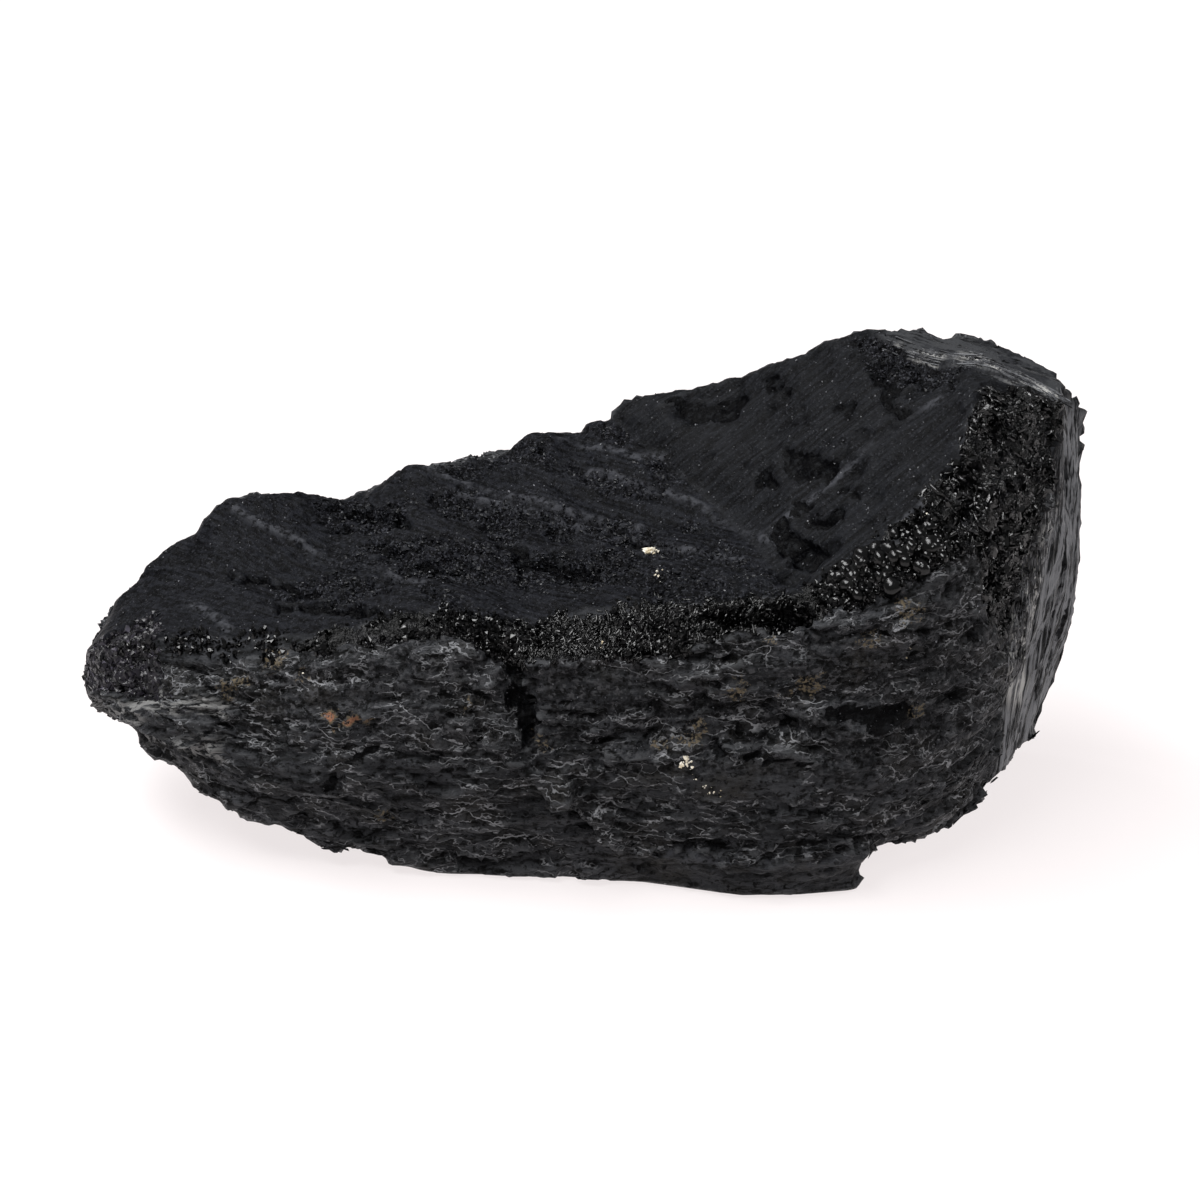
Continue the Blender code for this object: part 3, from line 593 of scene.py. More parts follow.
@dataclass
class BrokenSkin:
    """The lump's skin: the loft pushed out along its normals by the relief of each kind of surface."""

    loft: LumpLoft = field(default_factory=LumpLoft)
    grid: Array = field(init=False)
    even_normals: Array = field(init=False)
    masks: dict[Zone, Array] = field(init=False)

    def __post_init__(self) -> None:
        """Works out the finished grid, its normals and its masks."""
        smooth_grid, row_stations, column_places = self.loft.grid()
        rows, columns, _ = smooth_grid.shape
        points = smooth_grid.reshape(-1, 3)
        station = np.repeat(row_stations, columns)
        place = np.tile(column_places, rows)
        self.masks = self.zone_masks(points, station, place)
        height = self.relief(points, station, place)
        share = smooth(points[:, 2] / FOOT_FADE) * smooth((station + NOSE_FADE) / NOSE_FADE)
        self.even_normals = grid_normals(smooth_grid)
        moved = points + self.even_normals.reshape(-1, 3) * (height * share)[:, None]
        moved[:, 2] = np.maximum(moved[:, 2], 0.0)
        self.grid = moved.reshape(rows, columns, 3)
        relief_grid = (height * share).reshape(rows, columns)
        proud = (relief_grid - neighbour_mean(relief_grid, BLUR_PASSES)).ravel()
        slopes = self.masks[Zone.LEFT_SLOPE] + self.masks[Zone.RIGHT_SLOPE]
        # Sunk places carry painted shade and proud places a painted highlight.
        self.masks[Zone.HOLLOW] = np.clip(-proud / 0.6 - 0.1, 0.0, 1.0)
        self.masks[Zone.EDGE] = np.clip(proud / 0.5 - 0.2, 0.0, 1.0) * (1.0 - 0.75 * slopes)

    def zone_masks(self, points: Array, station: Array, place: Array) -> dict[Zone, Array]:
        """Where each kind of surface is, from 0 to 1, with ragged borders.

        Args:
            points: places in millimetres.
            station: place of each point along the lump.
            place: place of each point around the lump.

        Returns:
            One mask for each zone but the hollows and edges.
        """
        ragged = place + 0.16 * fractal(points, 2.6, 31, 4, 0.6)
        shifted = station + 0.14 * fractal(points, 3.5, 33, 4, 0.6)
        on_end = smooth((shifted - 12.93) / 0.1)
        on_body = 1.0 - on_end
        top = window(ragged, 4.0, 6.15, 0.08) * on_body
        strip_edge = np.interp(station, (11.0, 11.3, 11.8, 12.2, 12.6, 13.0), (6.0, 5.6, 5.1, 4.75, 4.4, 4.2))
        strip = window(ragged, strip_edge, 6.6, 0.1) * smooth((shifted - 11.0) / 0.2) * on_body
        crumbled_edge = np.interp(station, (10.5, 11.6, 12.1, 12.6, 13.0), (4.05, 4.05, 4.5, 4.4, 4.3))
        crumbled_end = np.interp(place, (1.8, 2.3, 2.7, 3.3, 4.0), (12.3, 12.5, 12.7, 12.85, 13.05))
        crumbled_foot = np.interp(station, (10.5, 11.3, 12.0, 12.6), (3.5, 3.0, 2.6, 2.2))
        crumbled = window(ragged, crumbled_foot, crumbled_edge, 0.2)
        crumbled *= window(shifted, 10.5, crumbled_end, 0.2)
        silvery = self.spread(warped(points, 3.0, 1.6, 34), SILVERY, 1.5)
        crumbled *= 1.0 - smooth(1.4 * silvery)
        beyond_valley = smooth((station - VALLEY_STATION) / 0.08 + 0.5)
        left_end = window(ragged, 2.5, 4.7, 0.2) * smooth((2.1 - shifted) / 0.4)
        shelf = nearness(warped(points, 4.0, 1.5, 35), (-54.0, -11.0, 17.0), (-44.0, -17.5, 17.0), 4.0)
        shelf = smooth(1.8 * shelf)
        foot = np.interp(station, (0.0, 2.0, 5.2, 5.6, 7.4, 7.8, 10.5), (3.5, 3.5, 3.4, 3.0, 3.05, 3.3, 3.2))
        frayed = place + 0.3 * fractal(points, 1.8, 32, 4, 0.7)
        band = window(frayed - foot, 0.0, 4.0 - foot, 0.12) * on_body * smooth((station - 0.8) / 0.8)
        band *= 0.3 + 0.7 * smooth((points[:, 0] + 36.0) / 8.0)
        front_top = np.maximum(foot, 3.0)
        front = np.maximum(window(ragged, -0.4, front_top, 0.12), window(ragged, 10.2, 12.6, 0.15))
        patch = np.zeros(len(points))
        eaten = warped(points * (0.8, 1.0, 1.0), 2.6, 3.4, 36) / (0.8, 1.0, 1.0)
        for start, end, reach in ROUGH_PATCHES:
            patch = np.maximum(patch, smooth(2.2 * nearness(eaten, start, end, reach)))
        x, y, z = points.T
        slanted = np.stack([0.35 * (x - 0.72 * y) / 1.232, (y + 0.72 * x) / 1.232, z], axis=1)
        worn = smooth((fractal(slanted, 4.5, 29, 3) - 0.02) / 0.3) * smooth((x + 36.0) / 12.0)
        patch = np.maximum(patch, 0.8 * worn * (1.0 - beyond_valley))
        chipped = self.spread(warped(points, 3.2, 2.2, 37), PITS, 1.2) + 0.5 * fractal(points, 1.5, 49, 3)
        return {
            Zone.LEFT_SLOPE: top * (1.0 - beyond_valley),
            Zone.RIGHT_SLOPE: top * beyond_valley * (1.0 - crumbled) * (1.0 - strip),
            Zone.PATCH: top * patch * (1.0 - crumbled) * (1.0 - strip),
            Zone.GRANULAR: band * (1.0 - crumbled),
            Zone.CRUMBLED: np.maximum(crumbled, left_end),
            Zone.FRONT: front * on_body * (1.0 - crumbled) * (1.0 - left_end),
            Zone.END_FACE: on_end * (1.0 - crumbled),
            Zone.STREAKED: np.maximum(np.maximum(strip, shelf), silvery),
            Zone.SILVERY: silvery,
            Zone.PIT: smooth((chipped - 0.42) / 0.2),
            Zone.FLAT: smooth(1.8 * self.spread(warped(points, 3.0, 1.6, 30), FLATS, 1.0)),
            Zone.PALE_LINE: self.spread(warped(points, 3.0, 0.5, 40), [(*s[:2], 0.9) for s in STREAKS], 1.3),
            Zone.BACK: window(ragged, 6.15, 10.2, 0.15) * on_body,
            Zone.RUSTY: self.rust(points),
        }

    def spread(self, points: Array, lines: tuple, strength: float) -> Array:
        """The nearness to any of several lines, each with its own reach, times a strength and at most 1."""
        total = np.zeros(len(points))
        for start, end, reach in lines:
            total = np.maximum(total, nearness(points, start, end, reach))
        return np.minimum(strength * total, 1.0)

    def rust(self, points: Array) -> Array:
        """Iron stain: ragged spots round the places where the real stain shows."""
        total = np.zeros(len(points))
        moved = warped(points * (0.6, 1.0, 1.0), 1.8, 1.6, 38) / (0.6, 1.0, 1.0)
        for centre, reach, strength in STAINS:
            total = np.maximum(total, strength * smooth(1.6 * nearness(moved, centre, centre, reach)))
        return total

    def relief(self, points: Array, station: Array, place: Array) -> Array:
        """How far the surface stands out from the loft.

        The sum of low lumps, the named scars and, inside each zone, its own layers, grooves and grains.

        Args:
            points: places in millimetres.
            station: not used.
            place: place of each point around the lump.

        Returns:
            Heights in millimetres.
        """
        masks = self.masks
        x, _, z = points.T
        height = 0.3 * noise(points, 16.0, 1) + 0.22 * noise(points, 7.0, 2)
        height += scars(warped(points, 2.6, 2.0, 39))
        height += 0.7 * window(place, 5.7, 6.5, 0.5) * fractal(points, 2.8, 47, 3, 0.65)
        height += masks[Zone.FRONT] * self.flaky(points, x, z) * (1.0 - 0.7 * masks[Zone.FLAT])
        height += masks[Zone.BACK] * self.flaky(points + 50.0, x, z)
        height += masks[Zone.LEFT_SLOPE] * self.striated_left(points)
        height += masks[Zone.RIGHT_SLOPE] * self.striated_right(points)
        height += masks[Zone.PATCH] * self.eaten(points)
        depth = 0.4 + 0.5 * masks[Zone.LEFT_SLOPE]
        height -= masks[Zone.PIT] * depth * (1.0 + 0.7 * fractal(points, 1.4, 48, 2))
        for start, end, rise in STREAKS:
            line = nearness(warped(points, 3.0, 0.5, 40), start, end, 1.0)
            height += 1.3 * rise * line * (0.5 + 0.7 * noise(points, 1.1, 41))
        height += masks[Zone.GRANULAR] * (0.7 * facetted(points, 1.2, 61, 1.3) - 0.45)
        height += masks[Zone.CRUMBLED] * (
            0.8 * facetted(points, 2.2, 62, 1.2) - 0.8 + 1.4 * fractal(points, 2.6, 63, 3, 0.55)
        )
        fibres = np.maximum(masks[Zone.END_FACE], masks[Zone.STREAKED])
        height += fibres * self.fibrous(points)
        return height

    def flaky(self, points: Array, x: Array, z: Array) -> Array:
        """Broken layers that dip gently, with low lumps, cut into terraces whose upper edges stand out.

        A terrace's height grows from its foot to its upper edge and drops back there, and its line winds.
        """
        dip = z - 0.05 * x + 1.2 * noise(points, 12.0, 3)
        height = 0.75 * layered(dip, x, 5.5, 11.0, 11, 0.12)
        height += 0.55 * plates(warped(points, 2.6, 1.6, 57), (7.0, 5.0, 2.6), 75, 2.4)
        height += 0.22 * plates(warped(points, 1.6, 0.8, 60), (3.0, 2.4, 1.3), 81, 2.4)
        lumps = points * (0.6, 0.6, 1.0)
        height += 0.7 * fractal(lumps, 6.0, 42, 3)
        for spacing, rise, seed in ((3.4, 0.6, 44), (1.5, 0.3, 45)):
            line = z / spacing + 1.6 * fractal(lumps, 2.4 * spacing, seed, 4, 0.55)
            strong = smooth(0.35 + 1.3 * noise(lumps, 2.4 * spacing, seed + 5))
            height += rise * strong * (line - np.floor(line) - 0.5)
        granular = smooth((z - 17.0) / 6.0)
        return height + (0.1 + 0.25 * granular) * fractal(points * (0.7, 0.7, 1.0), 1.3, 46, 2)

    def striated_left(self, points: Array) -> Array:
        """Flat treads and fine grooves that run down to the valley."""
        x, y, _ = points.T
        along = (x - 0.72 * y) / 1.232
        across = (y + 0.72 * x) / 1.232
        wander = across + 0.15 * noise(points, 9.0, 50)
        grooves = 0.3 * layered(wander, along, 4.6, 30.0, 15, 0.1)
        grooves += 0.14 * layered(wander, along, 1.9, 22.0, 51, 0.25)
        slanted = np.stack([0.4 * along, wander, points[:, 2]], axis=1)
        return grooves + 0.12 * fractal(slanted, 1.2, 53, 2)

    def striated_right(self, points: Array) -> Array:
        """Fine straight grooves up the smooth slope."""
        x, y, z = points.T
        along = 0.785 * x + 0.15 * y + 0.6 * z
        across = -0.381 * x + 0.881 * y + 0.278 * z
        grooves = 0.24 * layered(across, along, 4.4, 30.0, 17, 0.2)
        grooves += 0.1 * layered(across, along, 1.7, 22.0, 56, 0.3)
        slanted = np.stack([0.35 * along, across, z], axis=1)
        chips = smooth((fractal(slanted, 2.2, 58, 3) - 0.3) / 0.08)
        return grooves - 0.35 * chips + 0.07 * fractal(slanted, 1.2, 59, 2)

    def eaten(self, points: Array) -> Array:
        """Where the slopes are eaten away: a sunk floor with crooked pits and small standing crumbs."""
        x, y, z = points.T
        slanted = np.stack([0.5 * (x - 0.72 * y) / 1.232, (y + 0.72 * x) / 1.232, z], axis=1)
        pits = np.abs(fractal(slanted, 1.8, 54, 3, 0.6))
        return -0.2 - 0.8 * smooth(1.0 - 4.0 * pits) + 0.7 * fractal(slanted, 1.1, 55, 2)

    def fibrous(self, points: Array) -> Array:
        """Long splintered fibres, upright on the end face and lengthwise on the strip along the top."""
        x, y, z = points.T
        upright = smooth((52.0 - z) / 2.0) * smooth((x - 20.0) / 10.0)
        top = smooth((z - 50.0) / 2.0)
        across = upright * (y + 0.12 * z) + (1.0 - upright) * (y + (0.2 + 0.44 * top) * x + (1.0 - top) * z)
        along = upright * z + (1.0 - upright) * (x - 0.64 * top * y)
        height = 0.6 * layered(across, along, 4.4, 24.0, 19, 0.15)
        height += 0.4 * layered(across + 0.4 * noise(points, 6.0, 64), along, 1.8, 20.0, 65, 0.2)
        height += 0.25 * layered(across + 0.3 * noise(points, 4.0, 68), along, 1.0, 12.0, 66, 0.4)
        return height + 0.15 * fractal(points, 1.4, 67, 2)

    def scatter(self, density: Array, count: int, rng: np.random.Generator) -> tuple[Array, Array]:
        """Random places on the skin.

        Args:
            density: for each point of the grid, how thickly the places lie there.
            count: number of places.
            rng: source of the random numbers.

        Returns:
            The places in millimetres and their outward normals.
        """
        rows, columns, _ = self.grid.shape
        closed = np.concatenate([self.grid, self.grid[:, :1]], axis=1)
        along, around = closed[1:, :-1] - closed[:-1, :-1], closed[:-1, 1:] - closed[:-1, :-1]
        area = np.linalg.norm(np.cross(along, around), axis=2)
        weight = (area * density.reshape(rows, columns)[:-1]).ravel()
        chosen = rng.choice(len(weight), count, p=weight / weight.sum())
        row, column = chosen // columns, chosen % columns
        step = rng.random((count, 2, 1))
        places = closed[row, column] + step[:, 0] * along[row, column] + step[:, 1] * around[row, column]
        return places, self.even_normals[row, column]

    def faces(self) -> tuple[Array, Array]:
        """The skin's four-sided faces and the two fans of triangles that close its ends."""
        count, columns, _ = self.grid.shape
        near = np.arange(columns)
        far = (near + 1) % columns
        starts = (np.arange(count - 1) * columns)[:, None]
        next_starts = starts + columns
        quads = np.stack([starts + near, next_starts + near, next_starts + far, starts + far], axis=2)
        nose, end, last = count * columns, count * columns + 1, (count - 1) * columns
        fans = np.concatenate([
            np.stack([np.full(columns, nose), near, far], axis=1),
            np.stack([np.full(columns, end), last + far, last + near], axis=1),
        ])
        return quads.reshape(-1, 4), fans

    def build(self, scale: float) -> bpy.types.Object:
        """Makes the skin's object.

        Args:
            scale: metres to a drawn millimetre.

        Returns:
            The object, with one number attribute for each zone.
        """
        tips = np.array([self.grid[0].mean(axis=0), self.grid[-1].mean(axis=0)])
        points = np.concatenate([self.grid.reshape(-1, 3), tips])
        quads, fans = self.faces()
        skin = mesh_object("tourmaline_skin", to_metres(points, scale), [quads, fans])
        for zone, mask in self.masks.items():
            attribute = skin.data.attributes.new(zone.value, "FLOAT", "POINT")
            ends = [mask[0], mask[-1]]
            attribute.data.foreach_set("value", np.concatenate([mask, ends]).astype(np.float32))
        glassy = np.append(self.masks[Zone.GRANULAR] + self.masks[Zone.CRUMBLED], (0.0, 0.0))
        flaky = np.append(self.masks[Zone.FRONT] + self.masks[Zone.BACK], (0.0, 0.0))
        slots = [
            np.where(glassy[faces].mean(axis=1) > 0.5, 1, np.where(flaky[faces].mean(axis=1) > 0.5, 2, 0))
            for faces in (quads, fans)
        ]
        skin.data.polygons.foreach_set("material_index", np.concatenate(slots).astype(np.int32))
        skin.data.shade_smooth()
        return skin


def to_metres(points: Array, scale: float) -> Array:
    """Drawn millimetres as metres, measured from the bottom centre of the lump."""
    return (points - (*DRAWN_CENTRE, 0.0)) * scale


def mesh_object(name: str, points: Array, face_groups: list[Array]) -> bpy.types.Object:
    """Makes a mesh object at the origin from arrays.

    Args:
        name: the object's name.
        points: corners in metres.
        face_groups: arrays of faces, each with the same number of corners throughout.

    Returns:
        The object, linked to the scene.
    """
    mesh = bpy.data.meshes.new(name)
    sizes = np.concatenate([np.full(len(group), group.shape[1]) for group in face_groups])
    corners = np.concatenate([group.ravel() for group in face_groups])
    mesh.vertices.add(len(points))
    mesh.vertices.foreach_set("co", points.astype(np.float32).ravel())
    mesh.loops.add(len(corners))
    mesh.loops.foreach_set("vertex_index", corners.astype(np.int32))
    mesh.polygons.add(len(sizes))
    mesh.polygons.foreach_set("loop_start", np.concatenate([[0], np.cumsum(sizes)[:-1]]).astype(np.int32))
    mesh.polygons.foreach_set("loop_total", sizes.astype(np.int32))
    mesh.update(calc_edges=True)
    mesh.validate()
    piece = bpy.data.objects.new(name, mesh)
    bpy.context.scene.collection.objects.link(piece)
    return piece


def linear(code: str) -> tuple[float, float, float, float]:
    """Turns an sRGB hex code into the linear colour that a shader socket takes."""
    parts = [int(code[k:k + 2], 16) / 255.0 for k in (1, 3, 5)]
    red, green, blue = (c / 12.92 if c <= 0.04045 else ((c + 0.055) / 1.055) ** 2.4 for c in parts)
    return red, green, blue, 1.0


def put(
    tree: bpy.types.NodeTree, kind: str, inputs: dict | None = None, **settings: object
) -> bpy.types.Node:
    """Adds a node with its settings, values and links.

    Args:
        tree: the node tree.
        kind: the node's type, without the words ShaderNode in front.
        inputs: for each input, by name or number, a value or the output socket that feeds it.
        settings: properties of the node itself.

    Returns:
        The node.
    """
    made = tree.nodes.new("ShaderNode" + kind)
    for name, value in settings.items():
        setattr(made, name, value)
    for name, value in (inputs or {}).items():
        if isinstance(value, bpy.types.NodeSocket):
            tree.links.new(value, made.inputs[name])
        else:
            made.inputs[name].default_value = value
    return made


def stretched(tree: bpy.types.NodeTree, place: bpy.types.NodeSocket, along: tuple, across: tuple) -> object:
    """Object coordinates turned so that a pattern runs along a direction and is squeezed across it.

    Args:
        tree: the node tree.
        place: object coordinates.
        along: direction of the fibres, with the length that sets the pattern's scale along them.
        across: direction over the fibres, with the length that sets the scale over them.

    Returns:
        The output socket with the turned coordinates.
    """
    third = np.cross(along, across)
    third = tuple(third / np.linalg.norm(third) * np.linalg.norm(across))
    parts = [
        put(tree, "VectorMath", {0: place, 1: way}, operation="DOT_PRODUCT").outputs["Value"]
        for way in (along, across, third)
    ]
    return put(tree, "CombineXYZ", dict(enumerate(parts))).outputs[0]


def product(tree: bpy.types.NodeTree, first: object, second: object) -> bpy.types.NodeSocket:
    """Multiplies two numbers or sockets."""
    return put(tree, "Math", {0: first, 1: second}, operation="MULTIPLY").outputs[0]


def total(tree: bpy.types.NodeTree, *parts: object) -> bpy.types.NodeSocket:
    """Adds numbers or sockets."""
    result = parts[0]
    for part in parts[1:]:
        result = put(tree, "Math", {0: result, 1: part}, operation="ADD").outputs[0]
    return result


def blend(tree: bpy.types.NodeTree, share: object, first: object, second: object) -> bpy.types.NodeSocket:
    """Mixes two colours, given as sockets or hex codes, by a share from 0 to 1."""
    colours = [linear(c) if isinstance(c, str) else c for c in (first, second)]
    return put(tree, "MixRGB", {0: share, 1: colours[0], 2: colours[1]}).outputs[0]


def stepped(tree: bpy.types.NodeTree, value: object, low: float, high: float) -> bpy.types.NodeSocket:
    """0 where value is under low, 1 where it is over high, and an S-curve between."""
    inputs = {"Value": value, "From Min": low, "From Max": high}
    return put(tree, "MapRange", inputs, interpolation_type="SMOOTHSTEP").outputs[0]


# Width in metres of the painted highlights along the upper rims of the front's plates, and of the painted
# shadows in the gaps under them.
HIGHLIGHT_WIDTH = 0.00016
SHADOW_WIDTH = 0.0004

# Cells to a metre of the front's large and small plates, along the lump and upwards.
LARGE_PLATES = (110.0, 300.0)
SMALL_PLATES = (300.0, 850.0)

# Terraces to a metre of height on the front, and how many of them a swell shifts them by.
TERRACES = 620.0
TERRACE_SWELL = 6.0


@dataclass
class SkinPatterns:
    """The masks and patterns in the skin's node tree, with the colours and bumps made from them.

    Scales are in cells to a metre, so 1000 is a millimetre. The stone's finest tooth is under 0.1 mm and
    wouldn't show, so it is drawn 0.3 mm wide.
    """

    tree: bpy.types.NodeTree
    place: object = field(init=False)
    mask: dict[Zone, object] = field(init=False)
    broken: object = field(init=False)
    across_lump: object = field(init=False)
    rise: object = field(init=False)
    tooth: object = field(init=False)
    grain: object = field(init=False)
    pocks: object = field(init=False)
    cloud: object = field(init=False)
    left_grain: object = field(init=False)
    right_lines: object = field(init=False)
    flat_lines: object = field(init=False)
    upright_lines: object = field(init=False)
    fibre_field: object = field(init=False)
    flaky_grain: object = field(init=False)
    large_plates: tuple = field(init=False)

    def __post_init__(self) -> None:
        """Adds the coordinates, the masks and the patterns that several surfaces share."""
        tree = self.tree
        self.place = put(tree, "TexCoord").outputs["Object"]
        self.mask = {
            zone: put(tree, "Attribute", attribute_name=zone.value).outputs["Fac"] for zone in Zone
        }
        self.broken = total(tree, self.mask[Zone.FRONT], self.mask[Zone.BACK])
        self.across_lump = put(tree, "SeparateXYZ", {0: self.place}).outputs["X"]
        self.rise = put(tree, "SeparateXYZ", {0: self.place}).outputs["Z"]
        self.tooth = self.noise(self.place, 3200.0)
        self.grain = self.noise(self.place, 1100.0)
        self.pocks = self.noise(self.place, 1500.0)
        self.cloud = self.noise(self.place, 220.0, 4.0)
        left_lines = self.fibres((49, -35, 0), (1300, 1800, 0))
        self.left_grain = total(tree, product(tree, left_lines, 0.5), product(tree, self.pocks, 0.5))
        self.right_lines = self.fibres((55, 10, 42), (-840, 1940, 610))
        self.flat_lines = self.fibres((140, 0, -8), (0, 0, 1500))
        self.upright_lines = self.fibres((0, -8, 70), (560, 1050, 0), 4.0)
        fine_lines = self.fibres((0, -14, 120), (1300, 2500, 0))
        self.fibre_field = total(
            tree,
            product(tree, self.upright_lines, 0.6),
            product(tree, fine_lines, 0.5),
            product(tree, self.cloud, 0.4),
        )
        self.flaky_grain = self.fibres((420, 0, -30), (0, 0, 1300), 6.0)
        self.large_plates = self.plates(*LARGE_PLATES)

    def noise(self, place: object, scale: float, detail: float = 3.0) -> object:
        """Noise on the given coordinates, with its scale in cells to a metre."""
        settings = {"Vector": place, "Scale": scale, "Detail": detail, "Roughness": 0.6}
        return put(self.tree, "TexNoise", settings).outputs["Fac"]

    def fibres(self, along: tuple, across: tuple, detail: float = 3.0) -> object:
        """Noise drawn out along one direction and squeezed across it, each with its cells to a metre."""
        return self.noise(stretched(self.tree, self.place, along, across), 1.0, detail)

    def plates(self, wide: float, high: float) -> tuple:
        """Ragged flat plates, each with a height of its own.

        Args:
            wide: plates to a metre along the lump.
            high: plates to a metre upwards.

        Returns:
            The plates' heights from 0 to 1, a painted highlight along the upper rims of proud plates and a
            painted shadow in the gaps under them.
        """
        tree, place = self.tree, self.place
        drift = put(tree, "TexNoise", {"Vector": place, "Scale": 0.6 * high, "Detail": 4.0}).outputs["Color"]
        shift = put(tree, "VectorMath", {0: drift, 3: 1.8 / high}, operation="SCALE").outputs[0]
        ragged = put(tree, "VectorMath", {0: place, 1: shift}, operation="ADD").outputs[0]
        heights = []
        for rise in (0.0, HIGHLIGHT_WIDTH, SHADOW_WIDTH):
            moved = put(tree, "VectorMath", {0: ragged, 1: (0.0, 0.0, rise)}, operation="ADD").outputs[0]
            turned = stretched(tree, moved, (wide, 0, 0), (0, 0, high))
            colour = put(tree, "TexVoronoi", {"Vector": turned, "Scale": 1.0}).outputs["Color"]
            heights.append(put(tree, "SeparateXYZ", {0: colour}).outputs["X"])
        here, above, overhead = heights
        # A painted highlight along the upper rim of a proud plate, and a painted shadow just under a proud
        # plate's lower edge.
        painted_highlight = stepped(tree, total(tree, here, product(tree, above, -1.0)), 0.15, 0.5)
        painted_shadow = stepped(tree, total(tree, overhead, product(tree, here, -1.0)), 0.2, 0.6)
        return here, painted_highlight, painted_shadow

    def front(self) -> object:
        """The broken front and back: plates in unlike greys, lighter towards the bottom as a painted
        reflection of the floor, with painted shadows under the plates, pocks painted near black as shade,
        painted glints on the upper front and painted highlights along the upper rims of plates and terraces.
        """
        tree, mask, flaky_grain = self.tree, self.mask, self.flaky_grain
        large, large_highlight, large_shadow = self.large_plates
        small, small_highlight, small_shadow = self.plates(*SMALL_PLATES)
        plate_tone = total(tree, product(tree, large, 0.7), product(tree, small, 0.3))
        high_rock = blend(tree, plate_tone, "#0b0c0d", "#303134")
        low_rock = blend(tree, plate_tone, "#141517", "#3f4043")
        # Towards the bottom, below 8 to 20 millimetres up, the rock is lighter: a painted reflection of the
        # bright floor.
        rock = blend(tree, stepped(tree, self.rise, 0.02, 0.008), high_rock, low_rock)
        warm_share = product(tree, mask[Zone.FRONT], stepped(tree, self.cloud, 0.45, 0.7))
        warm = blend(tree, warm_share, rock, "#262524")
        veined = blend(tree, stepped(tree, flaky_grain, 0.54, 0.7), warm, "#3c3d3f")
        streaky = blend(tree, stepped(tree, flaky_grain, 0.48, 0.34), veined, "#080808")
        # Painted shadow under proud plates.
        shadowed = blend(tree, total(tree, large_shadow, product(tree, small_shadow, 0.6)), streaky, "#040404")
        # Painted glints on the upper front.
        high_front = product(tree, mask[Zone.FRONT], stepped(tree, self.rise, 0.014, 0.022))
        upper_glints = product(tree, high_front, stepped(tree, self.pocks, 0.54, 0.62))
        glinted = blend(tree, upper_glints, shadowed, "#38383a")
        # Pocks painted near black as shade.
        shaded_pocks = product(tree, self.broken, stepped(tree, self.pocks, 0.46, 0.36))
        pitted = blend(tree, shaded_pocks, glinted, "#020202")
        swell = self.fibres((170, 0, 0), (0, 0, 290), 4.0)
        level = total(tree, product(tree, self.rise, TERRACES), product(tree, swell, TERRACE_SWELL))
        terrace = put(tree, "Math", {0: level}, operation="FRACT").outputs[0]
        crisp = stepped(tree, total(tree, terrace, product(tree, flaky_grain, 0.3)), 1.0, 1.08)
        # Painted highlights along the upper rims of plates and terraces, dimmed on the flats.
        plate_highlight = total(tree, large_highlight, product(tree, small_highlight, 0.5), product(tree, crisp, 0.7))
        uneven = product(tree, stepped(tree, self.cloud, 0.4, 0.56), stepped(tree, mask[Zone.FLAT], 0.6, 0.2))
        painted_highlights = product(tree, self.broken, product(tree, plate_highlight, uneven))
        return blend(tree, painted_highlights, pitted, "#838487")

    def slopes(self, under: object) -> object:
        """The two smooth slopes over the colour under them: combed black, eaten patches with pocks painted
        black as shade, and pale lines.
        """
        tree, mask = self.tree, self.mask
        left = blend(tree, stepped(tree, self.left_grain, 0.4, 0.62), "#040405", "#18191d")
        right_grain = total(tree, product(tree, self.right_lines, 0.7), product(tree, self.pocks, 0.3))
        right = blend(tree, stepped(tree, right_grain, 0.36, 0.66), "#09090a", "#191a1d")
        with_left = blend(tree, mask[Zone.LEFT_SLOPE], under, left)
        sloped = blend(tree, mask[Zone.RIGHT_SLOPE], with_left, right)
        # Pocks in the eaten patches are painted near black as shade.
        shaded_mottles = product(tree, mask[Zone.PATCH], stepped(tree, self.pocks, 0.56, 0.46))
        crumbs = product(tree, mask[Zone.PATCH], stepped(tree, self.tooth, 0.54, 0.66))
        patched = blend(tree, crumbs, blend(tree, shaded_mottles, sloped, "#010102"), "#3a3b40")
        pale_line = product(tree, mask[Zone.PALE_LINE], stepped(tree, self.grain, 0.4, 0.6))
        return blend(tree, pale_line, patched, "#36373b")

    def hollows(self, under: object) -> object:
        """Grit all over, a painted highlight on proud edges, and painted shade, near black, where the surface
        is sunk or chipped out.
        """
        tree, mask = self.tree, self.mask
        grit = product(tree, stepped(tree, self.tooth, 0.58, 0.68), 0.6)
        gritty = blend(tree, grit, under, "#333438")
        # Proud edges get a painted highlight.
        painted_highlight = product(tree, mask[Zone.EDGE], stepped(tree, self.flaky_grain, 0.49, 0.53))
        highlighted = blend(tree, painted_highlight, gritty, "#3e3f41")
        # Sunk places are painted near black as shade.
        hollow = blend(tree, mask[Zone.HOLLOW], highlighted, "#010101")
        ragged = total(tree, product(tree, self.pocks, 0.7), product(tree, self.grain, 0.6), -0.65)
        # Chipped pits and scattered pocks get floors painted near black as shade.
        chipped = total(tree, mask[Zone.PIT], ragged)
        pit_floor = blend(tree, stepped(tree, self.pocks, 0.52, 0.62), "#010102", "#101113")
        return blend(tree, stepped(tree, chipped, 0.42, 0.54), hollow, pit_floor)

